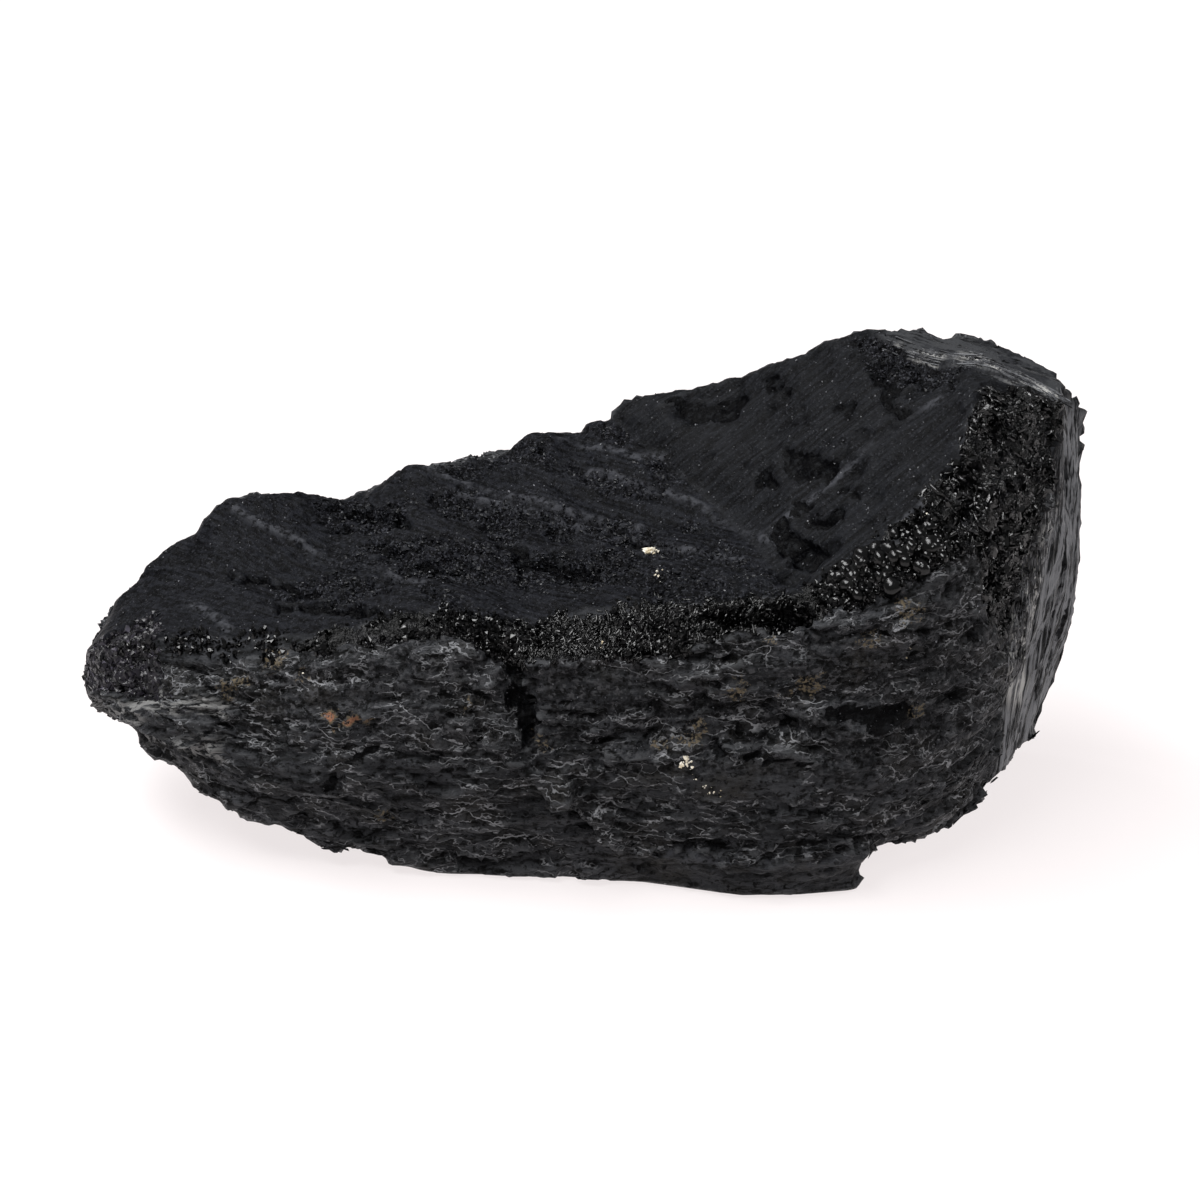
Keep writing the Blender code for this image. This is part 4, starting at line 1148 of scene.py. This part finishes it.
    def silver(self, under: object) -> object:
        """The fibrous end, the strip along the top and the shelf at the left: dark ground and silvery grey
        fibres and streaks, partly the fibres' own tone and partly painted sheen.
        """
        tree, mask = self.tree, self.mask
        below_corner = stepped(tree, self.rise, 0.051, 0.045)
        open_fibres = product(tree, stepped(tree, self.fibre_field, 0.68, 0.82), below_corner)
        ground = blend(tree, stepped(tree, self.grain, 0.4, 0.6), "#030304", "#1b1c1e")
        end_ground = blend(tree, mask[Zone.END_FACE], under, ground)
        # Open fibres on the end are painted pale grey, partly their own tone and partly painted sheen.
        end = blend(tree, product(tree, mask[Zone.END_FACE], open_fibres), end_ground, "#6e6f72")
        strip_lines = self.fibres((60, -40, -4), (520, 800, 0))
        on_strip = stepped(tree, self.rise, 0.053, 0.055)
        on_shelf = stepped(tree, self.across_lump, 0.0, -0.01)
        lengthwise = blend(tree, on_strip, self.flat_lines, strip_lines)
        lines = blend(tree, total(tree, on_strip, on_shelf), self.upright_lines, lengthwise)
        streaks = stepped(tree, lines, 0.46, 0.58)
        # Grey streaks on the strip, shelf and silvery places, partly their own tone and partly painted sheen.
        streaked = blend(tree, product(tree, mask[Zone.STREAKED], streaks), end, "#343537")
        dimmer = product(tree, mask[Zone.SILVERY], total(tree, 1.0, product(tree, on_shelf, -0.62)))
        # Silvery fibres, partly their own tone and partly painted sheen, dimmer on the shelf.
        return blend(tree, product(tree, dimmer, streaks), streaked, "#a3a2a0")

    def stained(self, under: object) -> object:
        """Tan to orange iron stain, in specks that thicken where the stain is strong."""
        tree, rusty = self.tree, self.mask[Zone.RUSTY]
        speckle = total(
            tree, product(tree, self.tooth, 0.8), product(tree, self.pocks, 0.8), product(tree, rusty, 0.3)
        )
        stain = blend(tree, stepped(tree, rusty, 0.62, 0.9), "#5a5142", "#805b47")
        share = product(tree, stepped(tree, rusty, 0.05, 0.4), stepped(tree, speckle, 0.92, 1.08))
        return blend(tree, share, under, stain)

    def combed(self) -> object:
        """The height that the bumps follow: each surface's own lines, plates or pocks."""
        tree, mask = self.tree, self.mask
        fibrous = total(tree, mask[Zone.END_FACE], mask[Zone.SILVERY])
        return total(
            tree,
            product(tree, mask[Zone.LEFT_SLOPE], self.left_grain),
            product(tree, mask[Zone.RIGHT_SLOPE], product(tree, self.right_lines, 0.6)),
            product(tree, mask[Zone.STREAKED], self.flat_lines),
            product(tree, self.broken, product(tree, self.large_plates[0], 2.6)),
            product(tree, self.broken, product(tree, self.flaky_grain, 3.2)),
            product(tree, mask[Zone.PATCH], product(tree, self.pocks, 2.0)),
            product(tree, fibrous, product(tree, self.fibre_field, 2.6)),
        )


@dataclass(frozen=True)
class SchorlSkin:
    """Schorl broken across its columns: opaque black, satin where it split and glassy where it chipped.

    To the eye the slopes are a cool, even black with faint combed lines, the front is a warm grey-black with
    painted highlights along the rims of its scales, and the end and the strip along the top are a silvery
    grey where fibres stand open, partly their own tone and partly painted sheen.
    """

    name: str
    gloss: float
    roughness: float

    def material(self) -> bpy.types.Material:
        """Makes the skin's material from its zone masks and patterns sized in millimetres."""
        material = bpy.data.materials.new(self.name)
        material.use_nodes = True
        tree = material.node_tree
        tree.nodes.clear()
        patterns = SkinPatterns(tree)
        dark = patterns.hollows(patterns.slopes(patterns.front()))
        shader = put(tree, "BsdfPrincipled", {
            "Base Color": patterns.stained(patterns.silver(dark)),
            "Roughness": total(tree, self.roughness, product(tree, patterns.grain, 0.22)),
            "Specular IOR Level": self.gloss,
        })
        combed = put(tree, "Bump", {"Height": patterns.combed(), "Strength": 0.55, "Distance": 0.00035})
        rough = put(tree, "Bump", {
            "Height": total(tree, patterns.tooth, patterns.grain),
            "Strength": 0.6,
            "Distance": 0.00022,
            "Normal": combed.outputs[0],
        })
        tree.links.new(rough.outputs[0], shader.inputs["Normal"])
        put(tree, "OutputMaterial", {"Surface": shader.outputs[0]})
        return material


@dataclass(frozen=True)
class GlassyGround:
    """Schorl chipped into shell-shaped faces: the ground between the crystals of the ridge and crumbled end.

    To the eye it is jet black with small curled glints, as the light catches the rims of its many chips.
    """

    name: str = "schorl_chipped_glassy"

    def material(self) -> bpy.types.Material:
        """Makes the material, with chips about a millimetre wide and a finer grain between them."""
        material = bpy.data.materials.new(self.name)
        material.use_nodes = True
        tree = material.node_tree
        tree.nodes.clear()
        place = put(tree, "TexCoord").outputs["Object"]
        chips = put(tree, "TexNoise", {"Vector": place, "Scale": 800.0, "Detail": 2.0, "Distortion": 1.6})
        grain = put(tree, "TexNoise", {"Vector": place, "Scale": 2200.0, "Detail": 3.0, "Distortion": 0.8})
        drift = put(tree, "TexNoise", {"Vector": place, "Scale": 260.0, "Detail": 2.0}).outputs["Fac"]
        # Sunk and chipped places are painted black as shade.
        hollow = total(tree, *(
            put(tree, "Attribute", attribute_name=zone.value).outputs["Fac"]
            for zone in (Zone.HOLLOW, Zone.PIT)
        ))
        body = blend(tree, stepped(tree, drift, 0.4, 0.6), "#020202", "#0d0d0f")
        shader = put(tree, "BsdfPrincipled", {
            "Base Color": blend(tree, hollow, body, "#000000"),
            "Roughness": total(tree, 0.14, product(tree, drift, 0.2)),
            "Specular IOR Level": 0.14,
        })
        broad = put(tree, "Bump", {"Height": chips.outputs["Fac"], "Strength": 0.8, "Distance": 0.0008})
        fine = put(tree, "Bump", {
            "Height": grain.outputs["Fac"],
            "Strength": 0.6,
            "Distance": 0.0003,
            "Normal": broad.outputs[0],
        })
        tree.links.new(fine.outputs[0], shader.inputs["Normal"])
        put(tree, "OutputMaterial", {"Surface": shader.outputs[0]})
        return material


@dataclass(frozen=True)
class PlainGrain:
    """The finish of small loose-looking bodies: one colour that drifts to another from grain to grain, with a
    painted highlight on one side of each body.
    """

    name: str
    dark: str
    light: str
    roughness: float
    gloss: float
    # Colour of the painted highlight on one side of each body.
    painted_highlight: str = "#101010"
    tooth: float = 0.00006

    def material(self) -> bpy.types.Material:
        """Makes the material, which mixes its two colours by noise about as wide as two grains and paints one
        side of each body in its highlight colour.
        """
        material = bpy.data.materials.new(self.name)
        material.use_nodes = True
        tree = material.node_tree
        tree.nodes.clear()
        place = put(tree, "TexCoord").outputs["Object"]
        drift = put(tree, "TexNoise", {"Vector": place, "Scale": 700.0, "Detail": 2.0}).outputs["Fac"]
        fine = put(tree, "TexNoise", {"Vector": place, "Scale": 4000.0, "Detail": 2.0}).outputs["Fac"]
        body = blend(tree, stepped(tree, drift, 0.3, 0.7), self.dark, self.light)
        painted_highlight = put(tree, "Attribute", attribute_name="painted_highlight").outputs["Fac"]
        shader = put(tree, "BsdfPrincipled", {
            "Base Color": blend(tree, stepped(tree, painted_highlight, 0.7, 1.0), body, self.painted_highlight),
            "Roughness": self.roughness,
            "Specular IOR Level": self.gloss,
        })
        bump = put(tree, "Bump", {"Height": fine, "Strength": 0.5, "Distance": self.tooth})
        tree.links.new(bump.outputs[0], shader.inputs["Normal"])
        put(tree, "OutputMaterial", {"Surface": shader.outputs[0]})
        return material


@dataclass(frozen=True)
class SmallBody:
    """A small closed shape of a few dozen triangles, one unit high and wide."""

    corners: Array
    triangles: Array
    painted_highlights: Array
    smooth: bool = False

    @classmethod
    def stacked(
        cls, heights: tuple, widths: tuple, sides: int, smooth: bool = False, bend: float = 0.0
    ) -> "SmallBody":
        """Makes rings of corners one above another, with a point at the foot and at the tip.

        Args:
            heights: the foot's, each ring's and the tip's height.
            widths: each ring's radius.
            sides: corners in a ring.
            smooth: True for a rounded look, False for flat faces.
            bend: how far the ends curl to one side.

        Returns:
            The shape.
        """
        turn = 2.0 * np.pi * np.arange(sides) / sides
        rings = []
        for height, width in zip(heights[1:-1], widths):
            across, aside = width * np.cos(turn) + bend * height**2, width * np.sin(turn)
            rings.append(np.stack([across, aside, np.full(sides, height)], axis=1))
        ends = np.array([(bend * height**2, 0.0, height) for height in (heights[0], heights[-1])])
        near = np.arange(sides)
        far = (near + 1) % sides
        foot, tip = len(rings) * sides, len(rings) * sides + 1
        faces = [np.stack([np.full(sides, foot), far, near], axis=1)]
        for ring in range(len(rings) - 1):
            low, high = ring * sides, (ring + 1) * sides
            faces.append(np.stack([low + near, low + far, high + far], axis=1))
            faces.append(np.stack([low + near, high + far, high + near], axis=1))
        last = (len(rings) - 1) * sides
        faces.append(np.stack([last + near, last + far, np.full(sides, tip)], axis=1))
        # One side of each ring is marked for a painted highlight.
        painted_highlights = np.append(np.tile(0.5 + 0.5 * np.sin(turn), len(rings)), (0.0, 0.0))
        return cls(np.concatenate([*rings, ends]), np.concatenate(faces), painted_highlights, smooth)


BALL_HEIGHTS = (-0.5, -0.4, -0.15, 0.15, 0.4, 0.5)
CRYSTAL = SmallBody.stacked((-0.6, -0.3, 0.45, 0.75), (0.42, 0.5), 5)
BEAD = SmallBody.stacked(BALL_HEIGHTS, (0.3, 0.48, 0.48, 0.3), 8, smooth=True)
SCALE = SmallBody.stacked((-0.5, -0.4, 0.3, 0.42), (0.42, 0.5), 8)
SPLINTER = SmallBody.stacked((-0.5, -0.3, 0.3, 0.5), (0.4, 0.45), 5)
CURL = SmallBody.stacked(BALL_HEIGHTS, (0.3, 0.45, 0.45, 0.3), 6, smooth=True, bend=1.6)


class Lie(Enum):
    """How a small body lies: which way its own height points."""

    UPRIGHT = "along the skin's normal"
    ALONG = "along the given direction on the skin"


@dataclass
class Litter:
    """Many small bodies set in the skin and joined in one mesh."""

    name: str
    body: SmallBody
    density: Array
    count: int
    low_size: tuple[float, float, float]
    high_size: tuple[float, float, float]
    direction: tuple[float, float, float]
    finish: PlainGrain
    lie: Lie = Lie.UPRIGHT
    tilt: float = 0.5
    lean: float = 0.0
    spin: float = 3.2
    sunk: float = 0.2
    ragged: float = 0.25
    seed: int = 1

    def frames(self, normals: Array, rng: np.random.Generator) -> Array:
        """Axes for each body: one set by the direction and the skin's normal, then tilted and spun."""
        leaning = normals + self.tilt * rng.uniform(-0.5, 0.5, normals.shape) - (0.0, 0.0, self.lean)
        out = leaning / np.linalg.norm(leaning, axis=1, keepdims=True)
        run = np.array(self.direction) - out * (out @ np.array(self.direction))[:, None]
        run /= np.maximum(np.linalg.norm(run, axis=1, keepdims=True), 1e-6)
        side = np.cross(out, run)
        angle = self.spin * rng.uniform(-1.0, 1.0, (len(normals), 1))
        along = np.cos(angle) * run + np.sin(angle) * side
        across = np.cross(out, along)
        if self.lie is Lie.ALONG:
            return np.stack([across, out, along], axis=2)
        return np.stack([along, across, out], axis=2)

    def build(self, skin: BrokenSkin, scale: float) -> bpy.types.Object:
        """Makes the joined mesh.

        Args:
            skin: the skin that the bodies are set in.
            scale: metres to a drawn millimetre.

        Returns:
            The object.
        """
        rng = np.random.default_rng(self.seed)
        places, normals = skin.scatter(self.density, self.count, rng)
        share = rng.random((self.count, 1)) ** 2.0
        low, high = np.array(self.low_size), np.array(self.high_size)
        sizes = (low + share * (high - low)) * rng.uniform(0.75, 1.25, (self.count, 3))
        corners = self.body.corners[None] * sizes[:, None, :]
        spread = rng.uniform(-1.0, 1.0, (self.count, len(self.body.corners), 3))
        corners = corners + self.ragged * spread * sizes[:, None, :] * 0.5
        turned = np.einsum("nij,nvj->nvi", self.frames(normals, rng), corners)
        thickness = sizes[:, 1:2] if self.lie is Lie.ALONG else sizes[:, 2:3]
        seats = places - normals * (self.sunk * thickness)
        points = (seats[:, None, :] + turned).reshape(-1, 3)
        points[:, 2] = np.maximum(points[:, 2], 0.0)
        step = len(self.body.corners) * np.arange(self.count)[:, None, None]
        faces = (self.body.triangles[None] + step).reshape(-1, 3)
        piece = mesh_object(self.name, to_metres(points, scale), [faces])
        piece.data.polygons.foreach_set("use_smooth", np.full(len(faces), self.body.smooth))
        # A painted highlight on one side of each body, stronger on some bodies than others.
        painted_highlight = piece.data.attributes.new("painted_highlight", "FLOAT", "POINT")
        lit = rng.uniform(0.3, 1.3, (self.count, 1)) * self.body.painted_highlights
        painted_highlight.data.foreach_set("value", lit.astype(np.float32).ravel())
        piece.data.materials.append(self.finish.material())
        return piece


# The last colour of each grain finish is the painted highlight on one side of its bodies.
SPLIT = SchorlSkin("schorl_split_satin", 0.03, 0.34)
FLAKED = SchorlSkin("schorl_flaked_satin", 0.06, 0.3)
GLASSY = PlainGrain("schorl_crystal_faces", "#010101", "#050506", 0.08, 0.3, tooth=0.00006)
BEADED = PlainGrain("schorl_rounded_beads", "#010101", "#040405", 0.15, 0.3)
CHIPPED = PlainGrain("schorl_chipped_edges", "#010101", "#070708", 0.16, 0.42, "#1c1c1e", 0.0001)
# The granular end's purplish last colour is a painted highlight.
PURPLISH = PlainGrain("schorl_granular_end", "#050507", "#1a181e", 0.3, 0.3, "#46434d")
SATIN = PlainGrain("schorl_satin_crumbs", "#050507", "#17181c", 0.35, 0.15, "#37383d")
SCALY = PlainGrain("schorl_scale_rims", "#060607", "#161718", 0.45, 0.1, "#3a3b3e")
# The open fibres' grey is partly their own tone and partly painted sheen.
FIBRE = PlainGrain("schorl_open_fibre", "#060607", "#4c4d50", 0.38, 0.2, "#5b5c5f")
# Small specks painted light grey stand in for glints.
GLINT = PlainGrain("schorl_painted_glints", "#242528", "#5c5d62", 0.3, 0.4, "#7c7d82")
FELDSPAR = PlainGrain("feldspar_grain", "#a89a7c", "#e6e2d8", 0.4, 0.4, "#e6e2d8")


@dataclass
class Dressing:
    """The small bodies on the skin, each kind where the real stone has it."""

    skin: BrokenSkin

    def spots(self, places: tuple, reach: float) -> Array:
        """A density that is high only near the given places."""
        points = self.skin.grid.reshape(-1, 3)
        density = np.zeros(len(points))
        for centre in places:
            density = np.maximum(density, nearness(points, centre, centre, reach))
        return density

    def litters(self) -> list[Litter]:
        """Every kind of small body, with its density, sizes and finish."""
        mask = self.skin.masks
        points = self.skin.grid.reshape(-1, 3)
        x, _, z = points.T
        band = mask[Zone.GRANULAR]
        clumps = smooth(0.4 + 1.4 * fractal(points, 3.0, 71, 3))
        sparse = smooth(0.1 + 1.8 * fractal(points, 4.0, 72, 3))
        columns = band * window(x, -8.0, 22.0, 3.0)
        beads = nearness(points, (28.0, -23.5, 39.5), (36.5, -23.5, 44.0), 4.2)
        low = smooth((17.0 - z) / 6.0)
        scaly = mask[Zone.FRONT] * (0.25 * sparse + low * clumps) * smooth((z - 1.5) / 1.5)
        left_end = mask[Zone.CRUMBLED] * smooth(-x / 5.0)
        chips = mask[Zone.CRUMBLED] * smooth(x / 5.0) * smooth((53.0 - x) / 3.0)
        silvery = mask[Zone.SILVERY] * smooth(x / 5.0)
        slopes = mask[Zone.LEFT_SLOPE] + mask[Zone.RIGHT_SLOPE]
        level = self.skin.even_normals.reshape(-1, 3)[:, 2]
        hidden = mask[Zone.BACK] * smooth((54.0 - x) / 5.0) * smooth((0.3 - level) / 0.2)
        trail = ((7.8, -14.1, 36.1), (8.3, -17.2, 35.7))
        tail = ((11.4, -27.2, 18.0), (12.4, -27.4, 17.2), (13.2, -27.5, 16.2), (14.2, -27.5, 15.4))
        pale = ((-7.4, -22.9, 30.9), (-7.4, -24.1, 29.0), (37.2, -20.7, 45.8), (35.2, -26.2, 30.9),
                (-32.4, -20.3, 26.5), (1.5, -23.4, 31.8), (9.5, -24.3, 32.8), (35.0, -26.0, 33.0))
        return [
            Litter("ridge_grains", CRYSTAL, band * clumps * (1.0 - 0.7 * columns), 4200, (0.28, 0.24, 0.35),
                   (0.8, 0.6, 1.3), (0.0, -0.3, 1.0), GLASSY, tilt=1.6, sunk=0.25, ragged=0.4, seed=3),
            Litter("ridge_columns", CURL, columns, 2000, (0.2, 0.2, 0.6), (0.42, 0.42, 1.7),
                   (0.1, -0.2, 1.0), GLASSY, Lie.ALONG, tilt=0.7, spin=0.6, sunk=0.2, ragged=0.3, seed=14),
            Litter("ridge_beads", BEAD, smooth(1.6 * beads), 80, (1.0, 1.0, 1.0), (2.3, 2.2, 2.2),
                   (1.0, 0.0, 0.0), BEADED, sunk=0.05, ragged=0.12, seed=4),
            Litter("ridge_pebbles", BEAD, smooth(2.0 * beads), 220, (0.4, 0.4, 0.4), (1.0, 0.9, 0.9),
                   (1.0, 0.0, 0.0), BEADED, sunk=0.0, ragged=0.25, seed=15),
            Litter("crumbled_chips", SCALE, chips, 1100, (0.5, 0.4, 0.16), (2.2, 1.2, 0.3),
                   (0.0, 0.0, 1.0), CHIPPED, tilt=2.0, sunk=0.7, ragged=0.4, seed=5),
            Litter("crumbled_curls", CURL, chips, 1300, (0.26, 0.24, 0.6), (0.7, 0.55, 2.2),
                   (0.0, 0.0, 1.0), CHIPPED, Lie.ALONG, tilt=0.8, sunk=0.35, ragged=0.3, seed=18),
            Litter("left_end_crumbs", CRYSTAL, left_end, 1500, (0.4, 0.36, 0.3), (1.3, 1.0, 0.8),
                   (1.0, 0.0, 0.0), PURPLISH, tilt=1.2, sunk=0.5, ragged=0.4, seed=16),
            Litter("front_scales", SCALE, scaly * (1.0 - mask[Zone.FLAT]), 1800, (0.4, 0.25, 0.12),
                   (1.8, 0.6, 0.2), (1.0, 0.0, -0.05), SCALY, tilt=0.3, lean=0.22, spin=0.5, sunk=0.45,
                   ragged=0.5, seed=6),
            Litter("back_scales", SCALE, hidden * clumps, 3000, (0.5, 0.3, 0.12), (2.4, 0.9, 0.26),
                   (-1.0, 0.0, 0.05), SCALY, tilt=0.3, lean=0.22, spin=0.5, sunk=0.45, ragged=0.5, seed=7),
            Litter("slope_crumbs", CRYSTAL, mask[Zone.PATCH], 3200, (0.2, 0.16, 0.14), (0.7, 0.4, 0.3),
                   (0.81, -0.58, 0.0), SATIN, tilt=0.8, spin=0.6, sunk=0.3, ragged=0.4, seed=8),
            # Painted glints on the slopes and the upper front.
            Litter("slope_glints", CRYSTAL, slopes, 900, (0.1, 0.1, 0.1), (0.26, 0.2, 0.18),
                   (0.81, -0.58, 0.0), GLINT, tilt=0.8, sunk=0.3, ragged=0.4, seed=19),
            Litter("front_glints", CRYSTAL, mask[Zone.FRONT] * smooth((z - 15.0) / 10.0), 700,
                   (0.1, 0.1, 0.1), (0.28, 0.2, 0.18), (1.0, 0.0, 0.0), GLINT, tilt=0.8, sunk=0.3,
                   ragged=0.4, seed=20),
            Litter("open_fibres", SPLINTER, silvery * window(z, 22.0, 52.0, 4.0), 1800, (0.16, 0.12, 1.0),
                   (0.36, 0.24, 3.2), (-0.12, -0.1, 1.0), FIBRE, Lie.ALONG, tilt=0.03, spin=0.08, sunk=0.45,
                   ragged=0.3, seed=9),
            Litter("strip_fibres", SPLINTER, silvery * smooth((z - 54.0) / 1.5), 700, (0.14, 0.12, 1.2),
                   (0.28, 0.22, 3.4), (0.84, -0.54, -0.06), FIBRE, Lie.ALONG, tilt=0.03, spin=0.05,
                   sunk=0.45, ragged=0.3, seed=10),
            Litter("feldspar_cluster", CRYSTAL, self.spots(((7.0, -9.3, 36.8),), 1.0), 22, (0.35, 0.35, 0.25),
                   (1.0, 0.8, 0.5), (1.0, 0.0, 0.0), FELDSPAR, tilt=1.0, sunk=0.2, ragged=0.4, seed=11),
            Litter("feldspar_trail", CRYSTAL, self.spots(trail, 1.0), 9, (0.16, 0.16, 0.16),
                   (0.45, 0.4, 0.4), (1.0, 0.0, 0.0), FELDSPAR, tilt=1.0, sunk=0.2, seed=12),
            Litter("feldspar_seam", CRYSTAL, self.spots(((10.9, -27.2, 19.0), (11.3, -27.3, 18.4)), 0.9), 16,
                   (0.3, 0.3, 0.2), (0.9, 0.7, 0.4), (1.0, 0.0, 0.0), FELDSPAR, tilt=1.0, sunk=0.4,
                   ragged=0.5, seed=17),
            Litter("feldspar_crumbs", CRYSTAL, self.spots(tail, 1.1), 14,
                   (0.1, 0.1, 0.1), (0.36, 0.3, 0.26), (1.0, 0.0, 0.0), FELDSPAR, tilt=1.0, sunk=0.4,
                   ragged=0.5, seed=21),
            Litter("feldspar_specks", CRYSTAL, self.spots(pale, 0.8), 26, (0.16, 0.16, 0.16), (0.5, 0.4, 0.4),
                   (1.0, 0.0, 0.0), FELDSPAR, tilt=1.0, sunk=0.2, ragged=0.4, seed=13),
        ]


@dataclass
class Studio:
    """The floor, the soft lights and the camera."""

    elevation: float = 25.0
    distance: float = 0.320
    lens: float = 80.0
    target: tuple[float, float, float] = (0.0011, -0.0012, 0.0264)
    floor_half: float = 3.0
    floor_colour: str = "#7c7b7b"
    floor_glow: float = 0.8

    def floor(self) -> None:
        """A wide, plain pale floor that glows a little, so that it stays white in soft light."""
        half = self.floor_half
        points = np.array([(-half, -half, 0.0), (half, -half, 0.0), (half, half, 0.0), (-half, half, 0.0)])
        floor = mesh_object("floor", points, [np.array([[0, 1, 2, 3]])])
        material = bpy.data.materials.new("white_paper_sweep")
        material.use_nodes = True
        shader = material.node_tree.nodes["Principled BSDF"]
        shader.inputs["Base Color"].default_value = linear(self.floor_colour)
        shader.inputs["Roughness"].default_value = 0.9
        shader.inputs["Specular IOR Level"].default_value = 0.1
        shader.inputs["Emission Color"].default_value = linear("#fff8f8")
        shader.inputs["Emission Strength"].default_value = self.floor_glow
        floor.data.materials.append(material)

    def softbox(
        self, name: str, place: tuple[float, float, float], size: tuple[float, float], power: float
    ) -> None:
        """Adds an area light that faces the lump.

        Args:
            name: the light's name.
            place: where it hangs, in metres.
            size: its width and height, in metres.
            power: its power, in watts.
        """
        light = bpy.data.lights.new(name, "AREA")
        light.shape = "RECTANGLE"
        light.size, light.size_y = size
        light.energy = power
        lamp = bpy.data.objects.new(name, light)
        lamp.location = place
        away = Vector(place) - Vector(self.target)
        lamp.rotation_euler = away.to_track_quat("Z", "Y").to_euler()
        bpy.context.scene.collection.objects.link(lamp)

    def lights(self) -> None:
        """A white room and three softboxes: overhead, right and left."""
        world = bpy.data.worlds.new("white_room")
        bpy.context.scene.world = world
        world.use_nodes = True
        background = world.node_tree.nodes["Background"]
        background.inputs["Color"].default_value = (1.0, 1.0, 1.0, 1.0)
        background.inputs["Strength"].default_value = 0.3
        self.softbox("overhead", (-0.38, -0.14, 0.94), (1.1, 0.42), 20.0)
        self.softbox("right_side", (0.75, 0.1, 0.35), (0.2, 0.2), 1.9)
        self.softbox("back_left", (-0.35, 0.5, 0.6), (0.12, 0.12), 0.8)

    def camera(self) -> None:
        """A camera above the front, aimed at the middle of the photo's frame."""
        tilt = np.radians(self.elevation)
        camera = bpy.data.cameras.new("camera")
        camera.lens = self.lens
        camera.sensor_width = 36.0
        camera.clip_start = 0.01
        camera.clip_end = 20.0
        holder = bpy.data.objects.new("camera", camera)
        aim = np.array(self.target)
        holder.location = aim + self.distance * np.array([0.0, -np.cos(tilt), np.sin(tilt)])
        holder.rotation_euler = (np.pi / 2 - tilt, 0.0, 0.0)
        bpy.context.scene.collection.objects.link(holder)
        bpy.context.scene.camera = holder

    def build(self) -> None:
        """Sets up the floor, lights, camera and a plain view transform."""
        self.floor()
        self.lights()
        self.camera()
        bpy.context.scene.view_settings.view_transform = "Standard"


def dress(piece: bpy.types.Object) -> None:
    """Makes a piece ride on the stone's body and logs its number of faces."""
    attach(piece, "root")
    LOG.info("%s: %d faces", piece.name, len(piece.data.polygons))


def main() -> None:
    """Builds the lump's pieces in order and reports each one."""
    logging.basicConfig(level=logging.INFO, format="%(name)s: %(message)s")
    low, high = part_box("tourmaline")
    scale = (high.x - low.x) / DRAWN_LENGTH
    skin = BrokenSkin()
    stone = skin.build(scale)
    for finish in (SPLIT, GlassyGround(), FLAKED):
        stone.data.materials.append(finish.material())
    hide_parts("tourmaline")
    dress(stone)
    for litter in Dressing(skin).litters():
        dress(litter.build(skin, scale))
    Studio().build()


if __name__ == "__main__":
    main()
